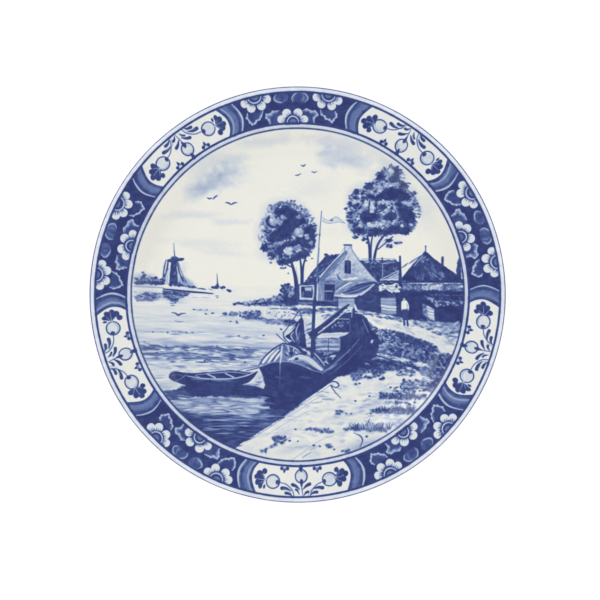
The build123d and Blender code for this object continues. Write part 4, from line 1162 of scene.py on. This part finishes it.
def cartouche(centre):
    """A white panel between blue bands, with three berries on stems, leaves and two trefoils."""
    m = Motif(centre)
    left = ((-14.2, OUTER), (-15.2, 190), (-16.2, 184), (-16.7, 178), (-16.3, 171), (-15.2, INNER))
    right = ((11.8, OUTER), (12.9, 190), (13.9, 184), (14.3, 178), (13.9, 171), (12.6, INNER))
    outer_left = ((-18.6, OUTER), (-19.8, 188), (-20.6, 180), (-20.4, 173), (-19.4, INNER))
    outer_right = ((16.6, OUTER), (17.6, 188), (18.3, 180), (18, 173), (16.8, INNER))
    # The blue bands, then the white panel over them.
    for tone, one_side, other_side in ((0.8, outer_left, outer_right), (0.035, left, right)):
        inner_run = [(a, INNER) for a in np.linspace(one_side[-1][0], other_side[-1][0], 24)[1:-1]]
        outer_run = [(a, OUTER) for a in np.linspace(other_side[0][0], one_side[0][0], 24)[1:-1]]
        outline = (*bend(one_side, 4), *inner_run, *bend(other_side[::-1], 4), *outer_run)
        m.fill(tone, outline, curve=False, rough=0.12, grain=0.18 * tone, slip=0)
    for edge, side in ((left, -1), (right, 1)):
        m.line((3.0, 6.0, 3.0), 0.64, [(a + side * 1.8, r) for a, r in edge], soft=2.2)
        m.line((1.2, 2.2, 1.2), 0.5 - 0.1 * side, [(a + side * 1.2, r) for a, r in edge], soft=1.0)
        m.line((1.2, 1.5, 1.2), 0.92, edge)
    for edge, side in ((outer_left, -1), (outer_right, 1)):
        m.line((0.8, 1.3, 0.8), 0.24, edge)
        m.line((0.5, 1.4, 0.5), 0.9, [(a - side * 0.75, r) for a, r in edge])
    # The stems, from the middle of the outer edge.
    m.line((0.9, 1.1, 0.9), 0.75, ((-3.6, 194.4), (-3.9, 190), (-4.7, 186.4), (-6, 183), (-7.6, 181.4)))
    m.line((0.5, 0.7, 0.4), 0.45, ((-3, 194.4), (-3.3, 190), (-4, 187)))
    m.line((0.9, 1.1, 0.9), 0.75, ((1, 194.4), (1.4, 189.4), (2.2, 186), (3.6, 182.8), (5.4, 181.6)))
    m.line((0.5, 0.7, 0.4), 0.45, ((1.6, 194.4), (2, 190), (2.8, 187)))
    m.line((0.6, 1.0, 0.9), 0.7, ((-1.6, 193), (-1.4, 188), (-1.2, 182)))
    m.line((0.5, 0.8, 0.5), 0.5, ((-0.4, 192), (-0.2, 188), (0.2, 184.6)))
    # The leaves on the stems, each (tip, foot, width).
    for head, tail, fat in (
        ((-5.5, 190.6), (-3.6, 192.6), 3.0),
        ((-7.3, 187.2), (-4.4, 187.2), 3.4),
        ((-2.9, 189.4), (-1.7, 192.6), 2.6),
        ((-3.6, 182.8), (-1.5, 187.6), 3.2),
        ((1.6, 182.8), (-0.6, 187.4), 3.2),
        ((3.4, 190.8), (1.5, 193.4), 3.0),
        ((4.6, 186.6), (1.9, 188.6), 3.6),
        ((0.6, 187.4), (-0.4, 191.8), 2.0),
    ):
        (ha, hr), (ta, tr) = head, tail
        way = (ha * 0.55 + ta * 0.45, hr * 0.55 + tr * 0.45 - 0.8)
        m.line((fat, fat * 0.8, 0.5), 0.92, (head, way, tail))
    m.line((0.5, 0.6, 0.4), 0.3, ((-6.6, 187.4), (-5.4, 187.2)))
    m.line((0.5, 0.6, 0.4), 0.3, ((4.4, 187.4), (3.2, 188)))
    # Three berries, each (angle, radius, width, height) with the place of its bud.
    for ba, br, wide, tall, bud_a, bud_r in (
        (-9.8, 180.4, 13.4, 12.6, -8.2, 181),
        (7.6, 180.6, 12.6, 13.0, 6.2, 181.4),
        (-1.1, 175, 11.6, 12.6, -1.2, 180.2),
    ):
        turns = np.linspace(0, 2 * math.pi, 17)[:-1]
        shape = [(ba + wide / (2 * DEGREE) * math.cos(t), br + tall / 2 * math.sin(t)) for t in turns]
        m.fill(0.12, shape, slip=0.05, grain=0.06)
        m.line((1.0, 1.4, 1.1), 0.86, [*shape, shape[0]])
        turns = np.linspace(3.4, 5.8, 6)
        glint = [(ba + wide / 8.4 * math.cos(t), br + tall / 2.7 * math.sin(t)) for t in turns]
        m.line((0.4, 1.2, 0.4), 0.32, glint)
        upright = -5 < ba < 5
        m.touch(bud_a, bud_r, 5.2 if upright else 4.4, 3.2, 0.92)
        if upright:
            m.line((1.0, 2.6, 0.8), 0.92, ((bud_a, 184.4), (bud_a, 181), (bud_a, 177.6)))
            m.line((1.6, 3.0, 4.2), 0.92, ((bud_a + 0.1, 170), (bud_a + 0.2, 168), (bud_a + 0.2, 165.6)))
    # A dark leaf beyond each outer berry, with its lobes as (angle, radius, length, width, lean).
    for lobes in (
        (
            (-12.4, 185.2, 6.0, 4.4, 8), (-13.9, 182.6, 5.2, 4.6, -30), (-12.9, 179.6, 7.4, 6.6, 0),
            (-15.0, 178.6, 4.4, 5.0, -50),
            (-14.0, 175.2, 6.0, 4.8, 30), (-12.6, 172.8, 4.4, 3.6, 40), (-12.9, 175.4, 4.4, 2.6, 10),
        ),
        (
            (11.1, 186.2, 6.4, 3.6, -6), (12.0, 183.4, 6.4, 4.4, 20), (11.4, 180.4, 8.0, 6.6, 0),
            (12.6, 179, 5.0, 4.4, 40),
            (11.8, 175.6, 5.6, 5.2, -30), (10.6, 172.8, 5.0, 4.2, -10), (9.9, 186.8, 3.6, 1.8, 0),
        ),
    ):
        m.touch(lobes[2][0] * 0.97, 181.4, 9.0, 6.4, 0.93)
        for a, r, out, across, lean in lobes:
            m.touch(a, r, out * 1.12, across * 1.16, 0.93, lean)
    for root, tips in (
        ((-11.4, 179.4), ((-13.2, 184.4), (-14.4, 179.2), (-13.0, 174.8))),
        ((9.6, 180), ((11.4, 184.6), (12.6, 180.8), (11.4, 175.4))),
    ):
        for ta, tr in tips:
            m.line((0.8, 0.6, 0.4), 0.3, (root, ((root[0] + ta) / 2, (root[1] + tr) / 2 + 0.4), (ta, tr)))
    # Two trefoils at the inner edge.
    for ta in (-6.4, 4.3):
        m.line((0.6, 2.4, 2.8), 0.93, ((ta, 172.2), (ta, 170.2), (ta, 168.6)))
        m.touch(ta - 0.95, 168, 3.6, 3.2, 0.93)
        m.touch(ta + 0.95, 168, 3.6, 3.2, 0.93)
        m.touch(ta, 168.2, 1.8, 1.6, 0.35)


for repeat in range(REPEATS):
    floral(repeat * 360 / REPEATS)
for repeat in range(REPEATS):
    cartouche(180 + repeat * 360 / REPEATS)

# The scene covers what the motifs spilled into the well, and the rings cover the seams.
lay(everywhere, np.clip(0.5 + (161.4 - RADIUS) / SOFT, 0, 1), scene)
lay(everywhere, beyond(195.3), 0.1 + 0.06 * mottle)
hoop(194.6, 2.0, 0.93)
hoop(165.1, 2.0, 0.93)
lay(everywhere, np.clip(0.5 + (2.4 - 2 * np.abs(RADIUS - 162.4)), 0, 1), 0.2 + 0.05 * mottle)
hoop(160.4, 1.5, 0.92)
hoop(199.5, 1.1, 0.85)

# The glaze blurs the cobalt a little and strengthens its half tones, and it settles unevenly.
blurred = canvas.copy()
for axis in (0, 1):
    blurred = 0.5 * blurred + 0.25 * (np.roll(blurred, 1, axis) + np.roll(blurred, -1, axis))
canvas[:] = np.clip(blurred * (1 + 0.05 * speckle + 0.05 * mottle), 0, 1)
canvas += 0.18 * canvas * (1 - canvas)

# ---- The glaze: a closed skin over each zone of the plate, with the cobalt at every vertex ----

SKIN = 0.4  # how thick the glaze is, in millimetres
LIP = 5.4  # how thick the plate's lip is, in millimetres
FULL_RING = 2160  # the columns of a skin that goes all the way round outside the scene
SHARP = math.radians(40)  # an edge between faces that turn more than this stays sharp


def seen_face(node):
    """The (radius, depth) points in mm of a CAD node's faces that look towards the front, by radius."""
    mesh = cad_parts[node].data
    found = set()
    for face in mesh.polygons:
        if face.normal.y < -0.3:
            for v in face.vertices:
                x, y, z = mesh.vertices[v].co
                found.add((round(math.hypot(x, z) * 1000, 3), round(y * 1000, 3)))
    return sorted(found)


def seen_span(node):
    """The middle of a border panel and half its span, in degrees clockwise from the top."""
    co = np.array([v.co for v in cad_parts[node].data.vertices])
    turns = np.degrees(np.arctan2(co[:, 0], co[:, 2]))
    middle = math.degrees(math.atan2(co[:, 0].mean(), co[:, 2].mean()))
    away = (turns - middle + 180) % 360 - 180
    return middle + (away.max() + away.min()) / 2, (away.max() - away.min()) / 2


# The face's section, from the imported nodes, with its facets smoothed out by a running mean.
front = sorted({p for n in ("scene_glaze", "shoulder_glaze", "cartouche_glaze_1") for p in seen_face(n)})
front_r = np.array([r for r, _ in front])
front_y = np.array([y for _, y in front])
fine_r = np.arange(0, 196, 0.25)
fine_y = np.interp(fine_r, front_r, front_y)
PASSES, SIDEWAYS = 3, 4  # how often the mean runs, and how many neighbours it takes on each side
SPARE = PASSES * SIDEWAYS
last_step = fine_y[-1] - fine_y[-2]
run_on = fine_y[-1] + last_step * np.arange(1, SPARE + 1)
padded = np.concatenate([np.full(SPARE, fine_y[0]), fine_y, run_on])
for _ in range(PASSES):
    shifted = [padded[SIDEWAYS + k : len(padded) - SIDEWAYS + k] for k in range(-SIDEWAYS, SIDEWAYS + 1)]
    padded[SIDEWAYS:-SIDEWAYS] = np.mean(shifted, axis=0)
fine_y = padded[SPARE:-SPARE]


def depth(r):
    """How deep the plate's face lies at a radius, in millimetres."""
    return np.interp(r, fine_r, fine_y)


def cobalt_at(x, z):
    """How much cobalt the canvas holds at each point."""
    u = np.clip((x + REACH) / CELL - 0.5, 0, SIDE - 1.001)
    v = np.clip((z + REACH) / CELL - 0.5, 0, SIDE - 1.001)
    iu, iv = u.astype(int), v.astype(int)
    fu, fv = u - iu, v - iv
    low = canvas[iv, iu] * (1 - fu) + canvas[iv, iu + 1] * fu
    high = canvas[iv + 1, iu] * (1 - fu) + canvas[iv + 1, iu + 1] * fu
    return low * (1 - fv) + high * fv


def solid(name, rings, turns=(0, 360), poles=False):
    """A closed mesh: rings of (radius, depth, columns) in order round the section, swept over the turns in
    degrees clockwise from the top. A full turn joins up, and a part turn gets two ends. With poles, the
    first and last rings close at the axis. A ring has as many columns as the next, half or twice as many."""
    whole = turns[1] - turns[0] >= 360
    counts = [n for _, _, n in rings]
    starts = np.concatenate([[0], np.cumsum(counts)])
    points = []
    for r, y, n in rings:
        t = np.radians(turns[0] + (turns[1] - turns[0]) * np.arange(n) / (n if whole else n - 1))
        points.append(np.column_stack([r * np.sin(t), np.full(n, y), r * np.cos(t)]))
    faces = []
    order = [*range(len(rings))] if poles else [*range(len(rings)), 0]
    for p, q in zip(order[:-1], order[1:]):
        a, b, na, nb = starts[p], starts[q], counts[p], counts[q]
        i = np.arange(min(na, nb) if whole else na - 1)
        j = (i + 1) % min(na, nb)
        if na == nb:
            faces.append(np.column_stack([a + i, a + j, b + j, b + i]))
        elif nb == 2 * na:
            middle, last = b + 2 * i + 1, b + (2 * i + 2) % nb
            for three in ((a + i, a + j, middle), (a + i, middle, b + 2 * i), (a + j, last, middle)):
                faces.append(np.column_stack(three))
        else:
            middle, last = a + 2 * i + 1, a + (2 * i + 2) % na
            for three in ((a + 2 * i, middle, b + i), (middle, last, b + j), (middle, b + j, b + i)):
                faces.append(np.column_stack(three))
    if poles:
        points.append(np.array([[0, rings[0][1], 0], [0, rings[-1][1], 0]]))
        i, j = np.arange(counts[0]), (np.arange(counts[0]) + 1) % counts[0]
        faces.append(np.column_stack([np.full(len(i), starts[-1]), j, i]))
        i, j = np.arange(counts[-1]), (np.arange(counts[-1]) + 1) % counts[-1]
        faces.append(np.column_stack([starts[-2] + i, starts[-2] + j, np.full(len(i), starts[-1] + 1)]))
    elif not whole:
        faces.append(np.array([starts[:-1]]))
        faces.append(np.array([starts[1:] - 1])[:, ::-1])
    points = np.vstack(points)
    corners = np.concatenate([f.ravel() for f in faces]).astype(np.int32)
    sizes = np.concatenate([np.full(len(f), f.shape[1]) for f in faces])
    mesh = bpy.data.meshes.new(name)
    mesh.vertices.add(len(points))
    mesh.vertices.foreach_set("co", (points / 1000).astype(np.float32).ravel())
    mesh.loops.add(len(corners))
    mesh.loops.foreach_set("vertex_index", corners)
    mesh.polygons.add(len(sizes))
    mesh.polygons.foreach_set("loop_start", np.concatenate([[0], np.cumsum(sizes)[:-1]]).astype(np.int32))
    mesh.polygons.foreach_set("use_smooth", np.ones(len(sizes), bool))
    mesh.update(calc_edges=True)
    mesh.set_sharp_from_angle(angle=SHARP)
    cobalt = mesh.attributes.new("cobalt", "FLOAT", "POINT")
    cobalt.data.foreach_set("value", cobalt_at(points[:, 0], points[:, 2]).astype(np.float32))
    piece = bpy.data.objects.new(name, mesh)
    bpy.context.scene.collection.objects.link(piece)
    return piece


def add(piece, nodes, material):
    """Puts a finished piece on the plate, in place of those CAD nodes."""
    piece.data.materials.append(material)
    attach(piece, "root")
    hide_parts(*nodes)


# ---- Materials ----


def linear(red, green, blue):
    """A colour given as 0 to 255 for a screen, as the light it stands for."""
    screen = [c / 255 for c in (red, green, blue)]
    light = [c / 12.92 if c <= 0.04045 else ((c + 0.055) / 1.055) ** 2.4 for c in screen]
    return (*light, 1.0)


def material(name, shine=0.1, waviness=0.12, pinholes=True):
    """A node material that starts as a wavy, glossy surface. Returns it, then what the callers build on:
    the function that makes its nodes, its surface node, its node tree, and each point's place."""
    m = bpy.data.materials.new(name)
    m.use_nodes = True
    tree = m.node_tree
    surface = tree.nodes["Principled BSDF"]

    def node(kind, links=(), **values):
        """A new node, with (source, socket) links into it, and its properties and inputs by name."""
        n = tree.nodes.new(kind)
        for key, value in values.items():
            if hasattr(n, key):
                setattr(n, key, value)
            else:
                n.inputs[key.replace("_", " ")].default_value = value
        for source, socket in links:
            tree.links.new(source, n.inputs[socket])
        return n

    where = node("ShaderNodeTexCoord").outputs["Object"]
    rough = node("ShaderNodeTexNoise", [(where, "Vector")], Scale=60.0, Detail=4.0)
    spread = node("ShaderNodeMapRange", [(rough.outputs["Fac"], "Value")])
    spread.inputs["To Min"].default_value = shine * 0.7
    spread.inputs["To Max"].default_value = shine * 1.4
    tree.links.new(spread.outputs["Result"], surface.inputs["Roughness"])
    slow = node("ShaderNodeTexNoise", [(where, "Vector")], Scale=45.0, Detail=2.0)
    peel = node("ShaderNodeTexNoise", [(where, "Vector")], Scale=420.0, Detail=2.0)
    bump = node("ShaderNodeBump", [(slow.outputs["Fac"], "Height")], Strength=waviness, Distance=0.002)
    links = [(peel.outputs["Fac"], "Height"), (bump.outputs["Normal"], "Normal")]
    bump = node("ShaderNodeBump", links, Strength=waviness, Distance=0.0002)
    if pinholes:
        holes = node("ShaderNodeTexVoronoi", [(where, "Vector")], Scale=160.0, Randomness=1.0)
        pit = node("ShaderNodeMapRange", [(holes.outputs["Distance"], "Value")])
        pit.inputs["From Max"].default_value = 0.06
        links = [(pit.outputs["Result"], "Height"), (bump.outputs["Normal"], "Normal")]
        bump = node("ShaderNodeBump", links, Strength=0.25, Distance=0.0001)
    tree.links.new(bump.outputs["Normal"], surface.inputs["Normal"])
    surface.inputs["IOR"].default_value = 1.5
    return m, node, surface, tree, where


def ramp(node, source, stops):
    """A colour ramp with stops of (position, (red, green, blue)) as seen on a screen."""
    r = node("ShaderNodeValToRGB", [(source, "Fac")])
    while len(r.color_ramp.elements) < len(stops):
        r.color_ramp.elements.new(0.5)
    for element, (position, colour) in zip(r.color_ramp.elements, stops):
        element.position = position
        element.color = linear(*colour)
    return r.outputs["Color"]


# The colours that more and more cobalt gives under the glaze.
COBALT = (
    (0.0, (233, 233, 226)),
    (0.14, (205, 213, 221)),
    (0.35, (159, 175, 206)),
    (0.6, (107, 127, 174)),
    (0.8, (68, 85, 141)),
    (1.0, (45, 54, 109)),
)


def painted_glaze(name, stops=COBALT):
    """White tin glaze over cobalt, whose density each vertex carries."""
    m, node, surface, tree, where = material(name)
    carried = node("ShaderNodeAttribute", attribute_name="cobalt").outputs["Fac"]
    grain = node("ShaderNodeTexNoise", [(where, "Vector")], Scale=650.0, Detail=3.0)
    cloud = node("ShaderNodeTexNoise", [(where, "Vector")], Scale=28.0, Detail=3.0)
    both = node("ShaderNodeMath", [(grain.outputs["Fac"], 0), (cloud.outputs["Fac"], 1)], operation="ADD")
    centred = node("ShaderNodeMath", [(both.outputs[0], 0)], operation="SUBTRACT")
    centred.inputs[1].default_value = 1.0
    uneven = node("ShaderNodeMath", [(centred.outputs[0], 0), (carried, 2)], operation="MULTIPLY_ADD")
    uneven.inputs[1].default_value = 0.09
    tree.links.new(ramp(node, uneven.outputs[0], stops), surface.inputs["Base Color"])
    return m


def plain(name, light, dark, shine, scale, waviness=0.12, glossy=True):
    """An unpainted surface that drifts between two colours, with fine specks of the darker one."""
    m, node, surface, tree, where = material(name, shine, waviness, glossy)
    cloud = node("ShaderNodeTexNoise", [(where, "Vector")], Scale=scale, Detail=5.0)
    specks = node("ShaderNodeTexVoronoi", [(where, "Vector")], Scale=scale * 9, Randomness=1.0)
    near = node("ShaderNodeMapRange", [(specks.outputs["Distance"], "Value")])
    near.inputs["From Max"].default_value = 0.14
    near.inputs["To Min"].default_value = 0.6
    near.inputs["To Max"].default_value = 0.0
    both = node("ShaderNodeMath", [(cloud.outputs["Fac"], 0), (near.outputs["Result"], 1)], operation="ADD")
    tree.links.new(ramp(node, both.outputs[0], ((0.3, light), (1.0, dark))), surface.inputs["Base Color"])
    return m


scene_paint = painted_glaze("painted_scene_glaze")
border_paint = painted_glaze("painted_border_glaze")
EDGE_COBALT = (
    (0.0, (234, 240, 248)),
    (0.2, (205, 214, 230)),
    (0.6, (112, 128, 172)),
    (1.0, (52, 60, 104)),
)
edge_paint = painted_glaze("edge_glaze", EDGE_COBALT)
back_white = plain("back_tin_glaze", (232, 232, 226), (205, 208, 206), 0.14, 24.0)
bare_clay = plain("bare_clay", (205, 178, 142), (160, 128, 92), 0.75, 70.0, 0.5, False)

# ---- The pieces ----


def section(low, high, step, columns):
    """The rings of a glaze skin between two radii of the face: its front run out, then its back run in."""
    out = np.linspace(low, high, max(2, round((high - low) / step) + 1))
    back = np.linspace(high, low, 5)
    front_rings = [(r, float(depth(r)), columns) for r in out]
    back_rings = [(r, float(depth(r)) + SKIN, columns) for r in back]
    return front_rings + back_rings


def radii(node):
    """The inner and outer radius of a CAD node, in millimetres."""
    found = np.array([math.hypot(v.co.x, v.co.z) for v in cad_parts[node].data.vertices]) * 1000
    return float(found.min()), float(found.max())


# The scene's skin: fine rings in front, and coarser ones behind, where nothing is painted.
RINGS = 290  # rings of the scene's front
BACK_RINGS = 55  # rings of its back, which ends short of the axis at BACK_END
BACK_END = 2
FEWEST = 12  # columns of the rings next to the axis
FRONT_CELL = 0.68  # the widest a column of the front may be, in millimetres
BACK_CELL = 2.5  # how wide the back's columns become
scene_edge = radii("scene_glaze")[1]
rings = []
for k in range(1, RINGS + 1):
    r = scene_edge * k / RINGS
    columns = FEWEST
    while 2 * math.pi * r / columns > FRONT_CELL:
        columns *= 2
    rings.append((r, float(depth(r)), columns))
for r in np.linspace(scene_edge, BACK_END, BACK_RINGS):
    rings.append((r, float(depth(r)) + SKIN, columns))
    if 2 * math.pi * r / columns < BACK_CELL and columns > FEWEST:
        columns //= 2
add(solid("painted_scene", rings, poles=True), ["scene_glaze"], scene_paint)

SHOULDER_STEP = 0.3  # between the shoulder's rings, in millimetres
inner, outer = radii("shoulder_glaze")
shoulder = solid("well_shoulder", section(inner, outer, SHOULDER_STEP, FULL_RING))
add(shoulder, ["shoulder_glaze"], edge_paint)

PANEL_STEP = 0.42  # between a border panel's rings, in millimetres
PANEL_CELL = 0.45  # how wide its columns are at the middle of the border
PANEL_MIDDLE = 180  # the radius of the middle of the border, in millimetres
inner, outer = radii("cartouche_glaze_1")
for number in range(1, REPEATS + 1):
    for kind in ("cartouche", "floral"):
        node = f"{kind}_glaze_{number}"
        middle, half = seen_span(node)
        columns = round(2 * math.radians(half) * PANEL_MIDDLE / PANEL_CELL)
        turns = (middle - half, middle + half)
        panel = solid(f"{kind}_panel_{number}", section(inner, outer, PANEL_STEP, columns), turns)
        add(panel, [node], border_paint)

# The rim's edge: the face's last strip, the rounded lip, and the back's first strip.
start, rim = radii("rim_edge_glaze")
low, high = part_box("rim_edge_glaze")
rim_front, rim_back = low.y * 1000, high.y * 1000
centre_r, centre_y = rim - LIP / 2, rim_front + LIP / 2
lip = []
for r in np.linspace(start, centre_r, 8)[:-1]:
    lip.append((r, float(np.interp(r, [start, centre_r], [depth(start), rim_front]))))
for t in np.radians(np.linspace(-90, 90, 25)):
    lip.append((centre_r + LIP / 2 * math.cos(t), centre_y + LIP / 2 * math.sin(t)))
lip.append((start, rim_back))
inside_lip = [(start, rim_back - SKIN)]
small = LIP / 2 - SKIN
for t in np.radians(np.linspace(90, -90, 9)):
    inside_lip.append((centre_r + small * math.cos(t), centre_y + small * math.sin(t)))
inside_lip.append((start, float(depth(start)) + SKIN))
lip_piece = solid("rim_edge", [(r, y, FULL_RING) for r, y in lip + inside_lip])
add(lip_piece, ["rim_edge_glaze"], edge_paint)

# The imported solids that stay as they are, with their own materials.
for node, finish, slot in (
    ("back_glaze", back_white, "white_glaze"),
    ("clay_body", bare_clay, "clay"),
    ("foot_ring", bare_clay, "clay"),
):
    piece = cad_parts[node]
    piece.data.materials.clear()
    piece.data.materials.append(finish)

# ---- The studio ----

FLOOR_RADIUS = 1.3  # in metres, as the rest of the studio
FLOOR_HEIGHT = -0.62  # below what the camera sees from the front
FLOOR_CORNERS = 64
floor_mesh = bpy.data.meshes.new("floor")
turns = np.linspace(0, 2 * math.pi, FLOOR_CORNERS + 1)[:-1]
corners = [(FLOOR_RADIUS * math.cos(t), FLOOR_RADIUS * math.sin(t), FLOOR_HEIGHT) for t in turns]
floor_mesh.from_pydata(corners, [], [list(range(FLOOR_CORNERS))])
floor = bpy.data.objects.new("floor", floor_mesh)
bpy.context.scene.collection.objects.link(floor)
floor_mesh.materials.append(plain("pale_floor", (250, 250, 250), (244, 244, 244), 0.8, 6.0, 0.05, False))

# The room: white where the camera looks past the plate, softly lit, and dim in the plate's reflections.
world = bpy.data.worlds.new("studio")
bpy.context.scene.world = world
world.use_nodes = True
tree = world.node_tree
tree.nodes.clear()
path = tree.nodes.new("ShaderNodeLightPath")


def background(colour, strength):
    """What one kind of light ray finds all round."""
    shader = tree.nodes.new("ShaderNodeBackground")
    shader.inputs["Color"].default_value = (*colour, 1)
    shader.inputs["Strength"].default_value = strength
    return shader.outputs[0]


WARM = (1, 0.985, 0.965)
seen = background((1, 1, 1), 1.02)
lit = background(WARM, 0.85)
mirrored = background(WARM, 0.22)
room = tree.nodes.new("ShaderNodeMixShader")
mix = tree.nodes.new("ShaderNodeMixShader")
out = tree.nodes.new("ShaderNodeOutputWorld")
tree.links.new(path.outputs["Is Camera Ray"], mix.inputs["Fac"])
tree.links.new(path.outputs["Is Glossy Ray"], room.inputs["Fac"])
tree.links.new(lit, room.inputs[1])
tree.links.new(mirrored, room.inputs[2])
tree.links.new(room.outputs[0], mix.inputs[1])
tree.links.new(seen, mix.inputs[2])
tree.links.new(mix.outputs[0], out.inputs["Surface"])


def softbox(name, place, size, power):
    """A square area light aimed at the plate, with its place and size in metres and its power in watts."""
    lamp = bpy.data.lights.new(name, "AREA")
    lamp.shape = "RECTANGLE"
    lamp.size, lamp.size_y, lamp.energy = size, size, power
    o = bpy.data.objects.new(name, lamp)
    o.location = place
    o.rotation_euler = (-Vector(place)).to_track_quat("-Z", "Y").to_euler()
    bpy.context.scene.collection.objects.link(o)


softbox("key", (-1.5, -1.7, 1.5), 1.5, 16)
softbox("fill", (1.8, -1.6, 0.4), 1.6, 7)
softbox("back", (-1.3, 1.7, 1.1), 1.2, 12)

# The camera looks at the face from straight in front. The plate is a little left of and above the middle.
camera = bpy.data.objects.new("camera", bpy.data.cameras.new("camera"))
bpy.context.scene.collection.objects.link(camera)
camera.location = (0.0023, -2.438, -0.0052)
camera.rotation_euler = (math.radians(90), 0, 0)
camera.data.sensor_width = 36
camera.data.lens = 149.9
bpy.context.scene.camera = camera
bpy.context.scene.view_settings.view_transform = "Standard"
